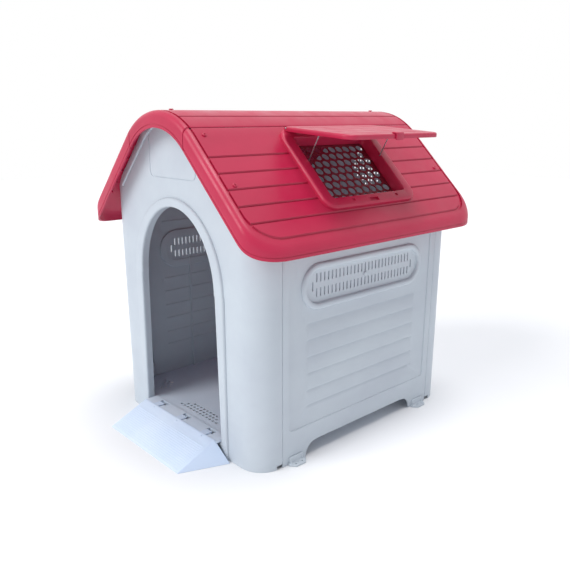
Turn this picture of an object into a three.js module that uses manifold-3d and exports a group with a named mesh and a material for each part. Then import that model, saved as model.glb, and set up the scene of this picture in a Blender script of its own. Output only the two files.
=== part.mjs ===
// Knock-down moulded kennel with a pitched roof, an opening skylight and an entrance ramp.
// Millimetres, +Z up. The doorway faces -Y and the skylight is on the +X slope.
// The house is drawn about its own centre line on the floor; the outer group then moves it so
// that the origin is the centre of the whole object's footprint.

import * as THREE from 'three';
import { mergeVertices } from 'three/addons/utils/BufferGeometryUtils.js';
import { ConvexGeometry } from 'three/addons/geometries/ConvexGeometry.js';
import Module from 'manifold-3d';

const wasm = await Module();
wasm.setup();

// ---- driving dimensions -------------------------------------------------------------------

const GAP = 0.3; // running gap between separate mouldings

const WALL = { halfX: 334, halfY: 389, corner: 70, thickness: 5, seamY: 308 };
const ROOF = {
  pitch: THREE.MathUtils.degToRad(44.2),
  ridgeRadius: 215,
  ridgeCentreZ: 678.5,
  halfLength: 435,
  halfWidth: 398,
  eaveZ: 570,
  eaveRadius: 28,
  sheet: 5,
  skirt: 42,
  gableRound: 20,
  capHalfWidth: 125.5,
};
const DOOR = { halfWidth: 183, archHalfWidth: 172, notchZ: 445, archZ: 450, apexZ: 651, trim: 25 };
const FLOOR = { bottomZ: 40, topZ: 46, sillZ: 50, sillFrontY: 408 };
const VENT = { z: 467, halfLength: 243, halfHeight: 61, columns: 27, pitch: 14.3, slot: 5 };
const GROOVE_HEIGHTS = [145, 188, 235, 280, 327, 371];
const PLANK_PITCH = 49.8;
const HATCH = {
  centreY: 20,
  halfOuterY: 180,
  halfInnerY: 145,
  topS: -12,
  bottomS: 258,
  innerTopS: 22,
  innerBottomS: 227,
  proud: 12,
  well: 22,
  corner: 36,
  innerCorner: 9,
};
const LID = { hingeS: -4, hingeN: 18, length: 246, thickness: 12, openAngle: 40, skin: 3.5, rim: 5 };
const STAY = { pivotS: 108, pivotN: -1, length: 80, lean: 25, radius: 1.5 };
const RAMP = { halfWidth: 174.5, flare: 225, frontY: 528, backY: 408.4, topZ: 53, sheet: 3.5 };
const HOOK = { xs: [-120, 0, 120], y: 387, z: 50.8, radius: 2.2, halfWidth: 12 };
const ANCHOR = { y: 262, halfLength: 29, reach: 22, sheet: 5, tab: 22 };
const LATCH = { width: 28, reach: 3.8, rise: 7.9 };

// How far the open lid's latch stands out from the house's centre line.
function lidReach() {
  const pitch = ROOF.pitch;
  const droop = pitch - THREE.MathUtils.degToRad(LID.openAngle);
  const along = (ROOF.ridgeRadius + LID.hingeN) * Math.sin(pitch) + LID.hingeS * Math.cos(pitch);
  return along + (LID.length + LATCH.reach) * Math.cos(droop) + LATCH.rise * Math.sin(droop);
}

const SHIFT_X = (ROOF.halfWidth - lidReach()) / 2;
const SHIFT_Y = (RAMP.frontY - ROOF.halfLength) / 2;

// ---- finishes -------------------------------------------------------------------------------

const finish = (color, roughness, metalness = 0) => ({ color, roughness, metalness });
const WALL_GREY = finish(0xc9d2db, 0.5);
const FLOOR_GREY = finish(0xc3cedb, 0.55);
const ROOF_RED = finish(0xb92850, 0.45);
const RAMP_BLUE = finish(0xd5e2f4, 0.55);
const STEEL = finish(0xb9bcc0, 0.3, 1);

// ---- solids ---------------------------------------------------------------------------------

function solid(geometry) {
  const bare = geometry.index ? geometry.toNonIndexed() : geometry.clone();
  bare.deleteAttribute('normal');
  bare.deleteAttribute('uv');
  const merged = mergeVertices(bare, 1e-4);
  return new wasm.Manifold(
    new wasm.Mesh({
      numProp: 3,
      vertProperties: new Float32Array(merged.attributes.position.array),
      triVerts: new Uint32Array(merged.index.array),
    }),
  );
}

function geometryOf(body) {
  const mesh = body.getMesh();
  const geometry = new THREE.BufferGeometry();
  geometry.setAttribute('position', new THREE.BufferAttribute(mesh.vertProperties, 3));
  geometry.setIndex(new THREE.BufferAttribute(mesh.triVerts, 1));
  geometry.computeVertexNormals();
  return geometry;
}

const union = (bodies) => bodies.reduce((whole, body) => whole.add(body));
const cut = (body, ...tools) => body.subtract(union(tools.flat()));

function part(name, body, { color, roughness, metalness }) {
  const geometry = body.isBufferGeometry ? body : geometryOf(body);
  const mesh = new THREE.Mesh(
    geometry,
    new THREE.MeshStandardMaterial({ color, roughness, metalness }),
  );
  mesh.name = name;
  return mesh;
}

// Prisms take an outline of the two other axes: along Z (x, y), along Y (x, z), along X (y, z).
function prismZ(shape, z0, z1, curveSegments = 6) {
  const options = { depth: z1 - z0, bevelEnabled: false, curveSegments };
  return solid(new THREE.ExtrudeGeometry(shape, options).translate(0, 0, z0));
}

function prismY(shape, y0, y1, curveSegments = 8, round = 0) {
  const bevel = {
    bevelEnabled: round > 0,
    bevelThickness: round,
    bevelSize: round,
    bevelOffset: -round,
    bevelSegments: 3,
  };
  const options = { depth: y1 - y0 - 2 * round, curveSegments, ...bevel };
  const geometry = new THREE.ExtrudeGeometry(shape, options);
  return solid(geometry.rotateX(Math.PI / 2).translate(0, y1 - round, 0));
}

const ALONG_X = new THREE.Matrix4().makeBasis(
  new THREE.Vector3(0, 1, 0),
  new THREE.Vector3(0, 0, 1),
  new THREE.Vector3(1, 0, 0),
);

function prismX(shape, x0, x1, curveSegments = 6) {
  const options = { depth: x1 - x0, bevelEnabled: false, curveSegments };
  const geometry = new THREE.ExtrudeGeometry(shape, options).applyMatrix4(ALONG_X);
  return solid(geometry.translate(x0, 0, 0));
}

function box(x0, x1, y0, y1, z0, z1) {
  const geometry = new THREE.BoxGeometry(x1 - x0, y1 - y0, z1 - z0);
  return solid(geometry.translate((x0 + x1) / 2, (y0 + y1) / 2, (z0 + z1) / 2));
}

function rodY(radius, y0, y1, x, z, sides = 10) {
  const geometry = new THREE.CylinderGeometry(radius, radius, y1 - y0, sides);
  return solid(geometry.translate(x, (y0 + y1) / 2, z));
}

// ---- outlines -------------------------------------------------------------------------------

function outline(points) {
  return new THREE.Shape(points.map(([x, y]) => new THREE.Vector2(x, y)));
}

function roundedRectangle(x0, x1, y0, y1, rx, ry = rx) {
  const shape = new THREE.Shape();
  const quarter = Math.PI / 2;
  shape.moveTo(x1, y0 + ry);
  shape.lineTo(x1, y1 - ry);
  shape.absellipse(x1 - rx, y1 - ry, rx, ry, 0, quarter, false, 0);
  shape.absellipse(x0 + rx, y1 - ry, rx, ry, quarter, 2 * quarter, false, 0);
  shape.absellipse(x0 + rx, y0 + ry, rx, ry, 2 * quarter, 3 * quarter, false, 0);
  shape.absellipse(x1 - rx, y0 + ry, rx, ry, 3 * quarter, 4 * quarter, false, 0);
  return shape;
}

function stadium(cx, cy, halfLength, radius) {
  return roundedRectangle(cx - halfLength, cx + halfLength, cy - radius, cy + radius, radius);
}

// Points of the roof line, a given depth under its outer face, from the ridge out to x.
function roofLine(depth, x, arcSteps = 7) {
  const radius = ROOF.ridgeRadius - depth;
  const start = Math.PI / 2;
  const points = [];
  for (let i = 0; i <= arcSteps; i += 1) {
    const angle = start - (ROOF.pitch * i) / arcSteps;
    points.push([radius * Math.cos(angle), ROOF.ridgeCentreZ + radius * Math.sin(angle)]);
  }
  const [tx, tz] = points[points.length - 1];
  points.push([x, tz - (x - tx) * Math.tan(ROOF.pitch)]);
  return points;
}

const mirrored = (points) => points.map(([x, z]) => [-x, z]).reverse();

// A closed outline below the roof line, square at the sides and flat at the bottom.
function underRoof(depth, halfX, bottomZ) {
  const right = roofLine(depth, halfX);
  const line = [...mirrored(right), ...right.slice(1)];
  return outline([...line, [halfX, bottomZ], [-halfX, bottomZ]]);
}

// The roof's outer section: the slope turns down through a rounded eave.
function roofSection(depth, bottomZ) {
  const radius = ROOF.eaveRadius - depth;
  const slope = roofLine(depth, 300);
  const down = Math.tan(ROOF.pitch);
  const [tx, tz] = slope[slope.length - 2];
  const centreX = ROOF.halfWidth - ROOF.eaveRadius;
  const startX = centreX + radius * Math.sin(ROOF.pitch);
  const startZ = tz - (startX - tx) * down;
  const centreZ = startZ - radius * Math.cos(ROOF.pitch);
  const points = slope.slice(0, -1);
  const steps = 4;
  for (let i = 0; i <= steps; i += 1) {
    const angle = Math.PI / 2 - ROOF.pitch - ((Math.PI / 2 - ROOF.pitch) * i) / steps;
    points.push([centreX + radius * Math.cos(angle), centreZ + radius * Math.sin(angle)]);
  }
  points.push([centreX + radius, bottomZ]);
  return outline([...mirrored(points), ...points.slice(1)]);
}

function archOutline(bottomZ, grow = 0) {
  const shape = new THREE.Shape();
  const low = DOOR.halfWidth + grow;
  const high = DOOR.archHalfWidth + (grow > 10 ? DOOR.halfWidth - DOOR.archHalfWidth + grow : grow);
  shape.moveTo(-low, bottomZ);
  shape.lineTo(low, bottomZ);
  shape.lineTo(low, DOOR.notchZ);
  shape.lineTo(high, DOOR.archZ);
  shape.absellipse(0, DOOR.archZ, high, DOOR.apexZ - DOOR.archZ + grow, 0, Math.PI, false, 0);
  shape.lineTo(-low, DOOR.notchZ);
  return shape;
}

// ---- walls ----------------------------------------------------------------------------------

// Bolts tie the corner flanges of the end walls to those of the side walls.
const BOLT = { x: 322.5, heights: [150, 480], radius: 2.5, hole: 2.9, flange: 12, web: 4 };

function flange(side, y0, y1) {
  const outer = side * (WALL.halfX - 1);
  const inner = side * (WALL.halfX - WALL.thickness - BOLT.flange);
  return box(Math.min(outer, inner), Math.max(outer, inner), y0, y1, 60, 560);
}

function boltHoles(y0, y1) {
  const holes = [];
  for (const side of [-1, 1]) {
    for (const z of BOLT.heights) holes.push(rodY(BOLT.hole, y0, y1, side * BOLT.x, z, 8));
  }
  return holes;
}

const GABLE_BAND = 27; // depth of the raised band that follows the roof line

// An end wall: a gabled panel that wraps round both corners to the seams. Drawn facing -Y.
function endWallShell() {
  const t = WALL.thickness;
  const plan = roundedRectangle(-WALL.halfX, WALL.halfX, -WALL.halfY, WALL.halfY, WALL.corner);
  const inner = WALL.corner - t;
  plan.holes.push(
    roundedRectangle(-WALL.halfX + t, WALL.halfX - t, -WALL.halfY + t, WALL.halfY - t, inner),
  );
  const seam = -WALL.seamY - GAP;
  const keep = box(-400, 400, -450, seam, -1, 900);
  const tube = prismZ(plan, 0, 890, 8).intersect(keep);
  const gable = prismY(underRoof(ROOF.sheet + 0.5, 420, -5), -450, 0);
  const webs = [-1, 1].map((side) => flange(side, seam - BOLT.web, seam));
  const edge = cut(
    prismY(underRoof(ROOF.sheet + 0.5, 262, 520), -WALL.halfY - 4, -WALL.halfY + 1),
    prismY(underRoof(GABLE_BAND, 500, 300), -450, 0),
    box(-400, 400, -450, 0, 500, 640),
  );
  return union([tube, ...webs, edge]).intersect(gable);
}

function undercutEnd(halfTop, halfBottom, height) {
  const shape = new THREE.Shape();
  shape.moveTo(-halfBottom, -5);
  shape.lineTo(halfBottom, -5);
  shape.lineTo(halfBottom, 0);
  shape.quadraticCurveTo(halfTop + 4, height * 0.3, halfTop, height);
  shape.lineTo(-halfTop, height);
  shape.quadraticCurveTo(-halfTop - 4, height * 0.3, -halfBottom, 0);
  return shape;
}

function frontWall() {
  const face = -WALL.halfY;
  const steps = 20;
  const trim = prismY(archOutline(0, DOOR.trim), face - 7, face + 1, steps);
  const sleeve = prismY(archOutline(FLOOR.topZ + 0.5, 4), face, face + 35, steps);
  const opening = prismY(archOutline(FLOOR.sillZ - 6 - GAP), -450, -300, steps);
  const under = prismY(undercutEnd(150, 182, 28), -450, -300, 3);
  const seam = boltHoles(-WALL.seamY - 20, -WALL.seamY);
  return cut(union([endWallShell(), trim, sleeve]), opening, under, seam);
}

// The rear wall has a round grid of square vent holes under the ridge.
function rearWall() {
  const grid = { z: 722, radius: 67, pitch: 12, half: 2.8 };
  const holes = [];
  const reach = Math.floor(grid.radius / grid.pitch) * grid.pitch;
  for (let x = -reach; x <= reach; x += grid.pitch) {
    for (let z = -reach; z <= reach; z += grid.pitch) {
      if (Math.hypot(x, z) > grid.radius - grid.half) continue;
      const low = grid.z + z - grid.half;
      holes.push(box(x - grid.half, x + grid.half, -450, -300, low, low + 2 * grid.half));
    }
  }
  const under = prismY(undercutEnd(200, 240, 40), -450, -300, 3);
  const seam = boltHoles(-WALL.seamY - 20, -WALL.seamY);
  const body = cut(endWallShell(), holes, under, seam);
  return body.rotate([0, 0, 180]);
}

// A side wall, drawn on the +X side: a recessed field with tapered grooves and a slotted vent.
function sideWall() {
  const t = WALL.thickness;
  const x = WALL.halfX;
  const topZ = roofLine(ROOF.sheet + 0.5, x).at(-1)[1] - 0.5;
  const half = WALL.seamY;
  const shape = new THREE.Shape();
  shape.moveTo(-half, 0);
  shape.lineTo(-225, 0);
  shape.quadraticCurveTo(-222, 40, -178, 40);
  shape.lineTo(178, 40);
  shape.quadraticCurveTo(222, 40, 225, 0);
  shape.lineTo(half, 0);
  shape.lineTo(half, topZ);
  shape.lineTo(-half, topZ);
  const panel = prismX(shape, x - t, x);
  const fieldTop = topZ - 12;
  const field = prismX(roundedRectangle(-284, 284, 92, fieldTop, 8), x - 2.5, x + 1, 2);
  const backing = prismX(roundedRectangle(-289, 289, 87, fieldTop + 5, 8), x - t - 2.5, x - t + 0.1, 2);
  const bead = cut(
    prismX(stadium(0, VENT.z, VENT.halfLength, VENT.halfHeight), x - 3, x + 0.5, 8),
    prismX(stadium(0, VENT.z, VENT.halfLength - 10, VENT.halfHeight - 10), x - 10, x + 5, 8),
  );
  const recess = prismX(stadium(0, VENT.z, VENT.halfLength - 23, 50), x - 4.5, x + 5, 8);
  const slots = [];
  const slot = (y, z0, z1) => {
    slots.push(box(x - 20, x + 5, y - VENT.slot / 2, y + VENT.slot / 2, z0, z1));
  };
  const halfRow = (VENT.columns - 1) / 2;
  for (let i = -halfRow; i <= halfRow; i += 1) {
    slot(i * VENT.pitch, VENT.z - 29, VENT.z - 6);
    slot(i * VENT.pitch, VENT.z + 9, VENT.z + 33);
  }
  for (const side of [-1, 1]) slot(side * (halfRow + 1) * VENT.pitch, VENT.z - 12, VENT.z + 12);
  const grooves = GROOVE_HEIGHTS.map((z) => groove(x - 2.5, z));
  const seamFlanges = [-1, 1].map((end) => {
    const y = end * WALL.seamY;
    return flange(1, Math.min(y, y - end * BOLT.web), Math.max(y, y - end * BOLT.web));
  });
  const ledges = [-1, 1].map((end) => {
    const y = end * 268;
    return box(x - 19, x - t + 0.5, y - 32, y + 32, FLOOR.bottomZ - 9, FLOOR.bottomZ - GAP);
  });
  const bolts = [-1, 1].flatMap((end) => {
    const y = end * WALL.seamY;
    return BOLT.heights.map((z) => rodY(BOLT.hole, y - 10, y + 10, BOLT.x, z, 8));
  });
  const plain = union([cut(panel, field), backing, bead, ...seamFlanges, ...ledges]);
  return cut(plain, recess, slots, grooves, bolts);
}

function groove(x, z) {
  const points = [
    [x, -240, z],
    [x + 3, -240, z - 5],
    [x + 3, -240, z + 5],
    [x - 1.8, -190, z],
    [x + 3, -190, z - 9],
    [x + 3, -190, z + 9],
    [x - 1.8, 190, z],
    [x + 3, 190, z - 9],
    [x + 3, 190, z + 9],
    [x, 240, z],
    [x + 3, 240, z - 5],
    [x + 3, 240, z + 5],
  ];
  return solid(new ConvexGeometry(points.map((p) => new THREE.Vector3(...p))));
}

const mirrorX = (body) => body.mirror([1, 0, 0]);
const mirrorY = (body) => body.mirror([0, 1, 0]);

// The left wall also carries an upright stiffening rib on its inner face.
function leftWall() {
  const inner = -WALL.halfX + WALL.thickness;
  const rib = box(inner - 2, inner + 9, -135, -130, FLOOR.topZ + 1, 430);
  return union([mirrorX(sideWall()), rib]);
}

function wallBolt() {
  const profile = [
    [0, -11],
    [4.5, -11],
    [4.5, -BOLT.web - 0.6],
    [BOLT.radius, -BOLT.web - 0.6],
    [BOLT.radius, BOLT.web + 0.9],
    [4.5, BOLT.web + 0.9],
    [4.5, 8],
    [0, 8],
  ];
  return new THREE.LatheGeometry(
    profile.map(([r, y]) => new THREE.Vector2(r, y)),
    8,
  );
}

// ---- floor ----------------------------------------------------------------------------------

function drainHoles(rows, place) {
  const holes = [];
  rows.forEach((count, row) => {
    for (let i = 0; i < count; i += 1) {
      const [x, y] = place((i - (count - 1) / 2) * 15.8, row * 13);
      holes.push(box(x - 2.6, x + 2.6, y - 2.6, y + 2.6, 0, 60));
    }
  });
  return holes;
}

function floorPan() {
  const clear = WALL.thickness + 0.5;
  const x = WALL.halfX - clear;
  const y = WALL.halfY - clear;
  const plan = roundedRectangle(-x, x, -y, y, WALL.corner - clear);
  const pan = prismZ(plan, FLOOR.bottomZ, FLOOR.topZ, 8);
  const sillHalf = DOOR.halfWidth - 2;
  const sill = box(-sillHalf, sillHalf, -FLOOR.sillFrontY, -y + 14, FLOOR.sillZ - 5.5, FLOOR.sillZ);
  const slots = HOOK.xs.map((hx) => box(hx - 15, hx + 15, -HOOK.y - 4, -HOOK.y + 4, 0, 60));
  const corner = ([sx, sy]) => (a, b) => [
    sx * (250 - (a + b) * Math.SQRT1_2),
    sy * (302 + (a - b) * Math.SQRT1_2),
  ];
  const corners = [[-1, -1], [1, -1], [-1, 1], [1, 1]];
  const holes = [
    ...drainHoles([12, 10, 8], (a, b) => [a, -338 + b]),
    ...corners.flatMap((signs) => drainHoles([5, 4, 3], corner(signs))),
  ];
  return cut(union([pan, sill]), slots, holes);
}

// ---- roof -----------------------------------------------------------------------------------

// The whole roof shell, before it is divided into a ridge cap and two slope panels.
function roofShell() {
  const half = ROOF.halfLength;
  const t = ROOF.sheet;
  const cos = Math.cos(ROOF.pitch);
  const plan = (inset) => {
    const x = ROOF.halfWidth - inset;
    const y = half - inset;
    return roundedRectangle(-x, x, -y, y, 95 * cos - inset, 95 - inset);
  };
  const low = 480;
  const round = ROOF.gableRound;
  const outer = prismY(roofSection(0, low), -half, half, 8, round)
    .intersect(prismZ(plan(0), low - 20, 900, 6));
  const inner = prismY(roofSection(t, low - 40), -half + t, half - t, 8, round - t)
    .intersect(prismZ(plan(t), low - 60, 900, 6));
  const mouth = prismY(underRoof(ROOF.skirt, 450, 300), -500, 500);
  const below = box(-450, 450, -500, 500, 0, ROOF.eaveZ);
  return cut(outer, inner, mouth.intersect(box(-450, 450, -500, 500, ROOF.eaveZ - 1, 900)), below);
}

// Point on a slope's outer face: s runs down the slope from the end of the ridge's curve.
const SLOPE_TOP = (() => {
  const line = roofLine(0, 200);
  return line[line.length - 2];
})();

const SLOPE_FRAME = (() => {
  const down = new THREE.Vector3(Math.cos(ROOF.pitch), 0, -Math.sin(ROOF.pitch));
  const out = new THREE.Vector3(Math.sin(ROOF.pitch), 0, Math.cos(ROOF.pitch));
  const frame = new THREE.Matrix4().makeBasis(down, new THREE.Vector3(0, 1, 0), out);
  return frame.setPosition(SLOPE_TOP[0], 0, SLOPE_TOP[1]);
})();

const toSlope = (body) => body.transform(SLOPE_FRAME.elements);

function plankGrooves() {
  const grooves = [];
  const section = outline([
    [-3, 1],
    [0, -2],
    [3, 1],
  ]);
  const length = ROOF.halfLength - ROOF.gableRound;
  for (let i = 0; i < 5; i += 1) {
    const s = 64 + i * PLANK_PITCH;
    grooves.push(toSlope(prismY(section, -length, length).translate([s, 0, 0])));
  }
  const angle = Math.atan2(879 - ROOF.ridgeCentreZ, 79);
  const x = ROOF.ridgeRadius * Math.cos(angle);
  const z = ROOF.ridgeCentreZ + ROOF.ridgeRadius * Math.sin(angle);
  const turned = prismY(section, -length, length).rotate([0, 90 - THREE.MathUtils.radToDeg(angle), 0]);
  grooves.push(turned.translate([x, 0, z]));
  return [...grooves, ...grooves.map(mirrorX)];
}

const SCREW_Y = 388;
const SCREW_SLOPES = [-5, 152];

function screwHoles() {
  const hole = (y) => {
    const pin = new THREE.CylinderGeometry(2.7, 2.7, 30, 8).rotateX(Math.PI / 2);
    return solid(pin.translate(0, y, 0));
  };
  const holes = [];
  for (const y of [-SCREW_Y, SCREW_Y]) {
    for (const s of SCREW_SLOPES) holes.push(toSlope(hole(y).translate([s, 0, 0])));
  }
  const slopes = [...holes, ...holes.map(mirrorX)];
  const ridge = [-382, 382].map((y) => hole(y).translate([0, 0, SLOPE_TOP[1] + 60]));
  return [...slopes, ...ridge];
}

// The raised skylight frame with its well, in the slope's own axes.
function hatchOpening(grow, n0, n1) {
  const y0 = HATCH.centreY - HATCH.halfInnerY - grow;
  const y1 = HATCH.centreY + HATCH.halfInnerY + grow;
  const corner = HATCH.innerCorner + grow;
  const shape = roundedRectangle(HATCH.innerTopS - grow, HATCH.innerBottomS + grow, y0, y1, corner);
  return prismZ(shape, n0, n1, 2);
}

function hatchFrame() {
  const y0 = HATCH.centreY - HATCH.halfOuterY;
  const y1 = HATCH.centreY + HATCH.halfOuterY;
  const outer = roundedRectangle(HATCH.topS, HATCH.bottomS, y0, y1, HATCH.corner);
  const frame = prismZ(outer, -4, HATCH.proud, 4);
  const well = hatchOpening(3.5, -HATCH.well, 0);
  const lugs = LID_LUGS.map(([a, b]) =>
    union([
      box(LID.hingeS - 5, LID.hingeS + 5, a, b, HATCH.proud - 1, LID.hingeN),
      rodY(5, a, b, LID.hingeS, LID.hingeN, 12),
    ]),
  );
  return union([frame, well, ...lugs]);
}

const LID_BARRELS = [
  [-130, -96],
  [136, 170],
];
const LID_LUGS = [
  [-138, -130.5],
  [-95.5, -88],
  [128, 135.5],
  [170.5, 178],
];

function hatchCuts() {
  const rod = rodY(3, -150, 190, LID.hingeS, LID.hingeN, 12);
  const y = HATCH.centreY;
  const catchNotch = box(239, 251, y - 17, y + 17, 6.5, 20);
  return [hatchOpening(0, -60, 40), rod, catchNotch];
}

function roofParts() {
  const shell = cut(roofShell(), plankGrooves(), screwHoles());
  const edge = ROOF.capHalfWidth;
  const cap = shell.intersect(box(-edge + GAP / 2, edge - GAP / 2, -500, 500, 500, 950));
  const left = shell.intersect(box(-450, -edge - GAP / 2, -500, 500, 500, 950));
  const plain = shell.intersect(box(edge + GAP / 2, 450, -500, 500, 500, 950));
  const framed = union([plain, toSlope(hatchFrame()).intersect(box(edge + 1, 450, -500, 500, 500, 950))]);
  const right = cut(framed, hatchCuts().map(toSlope));
  return [
    part('ridge_cap', cap, ROOF_RED),
    part('roof_panel_left', left, ROOF_RED),
    part('roof_panel_right', right, ROOF_RED),
  ];
}

function roofScrews() {
  const profile = [
    [0, -4.6],
    [2.1, -4.6],
    [2.1, 0.4],
    [6, 0.4],
    [5, 2.6],
    [0, 3.4],
  ];
  const points = profile.map(([r, y]) => new THREE.Vector2(r, y));
  const places = [];
  for (const [side, label] of [[1, 'right'], [-1, 'left']]) {
    for (const [y, end] of [[-SCREW_Y, 'front'], [SCREW_Y, 'rear']]) {
      SCREW_SLOPES.forEach((s, i) => {
        const row = i ? 'lower' : 'upper';
        places.push([`roof_screw_${label}_${end}_${row}`, side, s, y]);
      });
    }
  }
  const screws = places.map(([name, side, s, y]) => {
    const screw = part(name, new THREE.LatheGeometry(points, 8), ROOF_RED);
    const [tx, tz] = SLOPE_TOP;
    const x = side * (tx + s * Math.cos(ROOF.pitch));
    screw.position.set(x, y, tz - s * Math.sin(ROOF.pitch));
    screw.rotation.set(Math.PI / 2, 0, -side * ROOF.pitch, 'XYZ');
    return screw;
  });
  for (const [y, end] of [[-382, 'front'], [382, 'rear']]) {
    const screw = part(`roof_screw_ridge_${end}`, new THREE.LatheGeometry(points, 8), ROOF_RED);
    screw.position.set(0, y, ROOF.ridgeCentreZ + ROOF.ridgeRadius);
    screw.rotation.x = Math.PI / 2;
    screws.push(screw);
  }
  return screws;
}

// ---- skylight -------------------------------------------------------------------------------

// A sheet of staggered oval holes, clipped under the well.
function skylightGrille() {
  const y = HATCH.centreY;
  const halfY = HATCH.halfInnerY + 3;
  const s0 = HATCH.innerTopS - 3;
  const s1 = HATCH.innerBottomS + 3;
  const shape = roundedRectangle(s0, s1, y - halfY, y + halfY, 14);
  const oval = { pitchS: 24.5, pitchY: 28.6, rs: 10, ry: 11.8, sides: 6 };
  for (let row = 0; row < 8; row += 1) {
    const s = s0 + 19.5 + row * oval.pitchS;
    const count = row % 2 ? 9 : 10;
    for (let i = 0; i < count; i += 1) {
      const cy = y + (i - (count - 1) / 2) * oval.pitchY;
      const hole = new THREE.Path();
      for (let k = 0; k < oval.sides; k += 1) {
        const a = ((k + 0.5) / oval.sides) * 2 * Math.PI;
        const point = [s + oval.rs * Math.cos(a), cy + oval.ry * Math.sin(a)];
        if (k) hole.lineTo(...point);
        else hole.moveTo(...point);
      }
      hole.closePath();
      shape.holes.push(hole);
    }
  }
  const options = { depth: 3, bevelEnabled: false, curveSegments: 3 };
  const geometry = new THREE.ExtrudeGeometry(shape, options);
  return geometry.translate(0, 0, -HATCH.well - 3 - GAP - 0.2);
}

// The lid is a shallow tray about its hinge: +X towards its free edge, +Z its outer face.
function skylightLid() {
  const top = LID.thickness / 2 + 0.4;
  const bottom = top - LID.thickness;
  const y0 = HATCH.centreY - HATCH.halfOuterY;
  const y1 = HATCH.centreY + HATCH.halfOuterY;
  const r = LID.rim;
  const slab = prismZ(roundedRectangle(7, LID.length, y0, y1, 30), bottom, top, 4);
  const pocketPlan = roundedRectangle(7 + r, LID.length - r, y0 + r, y1 - r, 26);
  const pocket = prismZ(pocketPlan, bottom - 1, top - LID.skin, 4);
  const barrels = LID_BARRELS.map(([a, b]) =>
    union([rodY(5, a, b, 0, 0, 12), box(0, 9, a, b, -4.6, 4.6)]),
  );
  const lugs = STAY_PLACES.map(({ lug }) =>
    box(STAY.pivotS - 5, STAY.pivotS + 5, lug[0], lug[1], -4.5, top - LID.skin + 0.5),
  );
  const stayHoles = STAY_PLACES.map(({ lug }) =>
    rodY(2, lug[0] - 1, lug[1] + 1, STAY.pivotS, STAY.pivotN, 12),
  );
  const rodHole = rodY(3, -150, 190, 0, 0, 12);
  return cut(union([cut(slab, pocket), ...barrels, ...lugs]), rodHole, stayHoles);
}

const STAY_PLACES = [
  { name: 'lid_stay_front', wireY: -121, bend: [-121, -112], lug: [-117.5, -114.5] },
  { name: 'lid_stay_rear', wireY: 161, bend: [152, 161], lug: [154.5, 157.5] },
];

function lidStay({ wireY, bend }) {
  const wire = new THREE.CylinderGeometry(STAY.radius, STAY.radius, STAY.length, 8);
  const leg = solid(wire.rotateX(Math.PI / 2).translate(0, wireY, -STAY.length / 2));
  const knuckle = solid(new THREE.SphereGeometry(STAY.radius * 1.2, 8, 6).translate(0, wireY, 0));
  return union([leg, knuckle, rodY(STAY.radius, bend[0], bend[1], 0, 0, 8)]);
}

// The latch is a strap that folds over the lid's free edge and catches in the frame.
function lidLatch() {
  const y = HATCH.centreY;
  const top = LID.thickness / 2 + 0.4;
  const edge = LID.length;
  const catchEnd = top - LID.thickness - 3;
  const strap = outline([
    [edge - 13, top + 0.4],
    [edge + 0.4, top + 0.4],
    [edge + 0.4, catchEnd],
    [edge + 3.4, catchEnd],
    [edge + LATCH.reach, LATCH.rise],
    [edge + 1.5, top + 3.8],
    [edge - 11, top + 3.8],
    [edge - 13, top + 2.4],
  ]);
  return prismY(strap, y - LATCH.width / 2, y + LATCH.width / 2);
}

function skylight() {
  const slope = new THREE.Group();
  slope.applyMatrix4(SLOPE_FRAME);
  slope.add(part('skylight_grille', skylightGrille(), ROOF_RED));
  const hinge = new THREE.Group();
  hinge.position.set(LID.hingeS, 0, LID.hingeN);
  slope.add(hinge);
  hinge.add(part('lid_hinge_rod', rodY(2.5, -141, 181, 0, 0, 10), STEEL));
  const lid = new THREE.Group();
  lid.rotation.y = -THREE.MathUtils.degToRad(LID.openAngle);
  hinge.add(lid);
  lid.add(part('skylight_lid', skylightLid(), ROOF_RED));
  lid.add(part('lid_latch', lidLatch(), ROOF_RED));
  for (const place of STAY_PLACES) {
    const stay = part(place.name, lidStay(place), STEEL);
    stay.position.set(STAY.pivotS, 0, STAY.pivotN);
    stay.rotation.y = THREE.MathUtils.degToRad(STAY.lean);
    lid.add(stay);
  }
  return slope;
}

// ---- ramp and anchors -------------------------------------------------------------------------

function hull(points) {
  return solid(new ConvexGeometry(points.map((p) => new THREE.Vector3(...p))));
}

function entranceRamp() {
  const { halfWidth: w, flare, frontY, backY, topZ, sheet } = RAMP;
  const outer = hull(
    [-1, 1].flatMap((side) => [
      [side * w, -frontY, 0],
      [side * w, -frontY, 2],
      [side * w, -backY - 3, topZ],
      [side * w, -backY, topZ],
      [side * w, -backY, 40],
      [side * flare, -backY + 11, 0],
    ]),
  );
  const inner = hull(
    [-1, 1].flatMap((side) => [
      [side * (w - 4), -frontY + 12, -1],
      [side * (w - 4), -backY - 3, topZ - sheet - 1],
      [side * (w - 4), -backY + 30, topZ - sheet - 1],
      [side * (w - 4), -backY + 30, -1],
      [side * (flare - 8), -backY + 8, -1],
      [side * (flare - 8), -backY + 30, -1],
    ]),
  );
  const hooks = HOOK.xs.map((x) => {
    const nose = new THREE.CylinderGeometry(HOOK.radius, HOOK.radius, 2 * HOOK.halfWidth, 10);
    const turned = nose.rotateZ(Math.PI / 2).translate(x, -HOOK.y, HOOK.z);
    const tongueZ = HOOK.z + HOOK.radius - 2.4;
    const tongue = box(x - HOOK.halfWidth, x + HOOK.halfWidth, -backY - 2, -HOOK.y, tongueZ, topZ - 0.1);
    return union([solid(turned), tongue]);
  });
  const sillRoom = box(-DOOR.halfWidth + 1.4, DOOR.halfWidth - 1.4, -backY, -300, -1, 80);
  return union([cut(outer, inner, sillRoom), ...hooks]);
}

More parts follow.
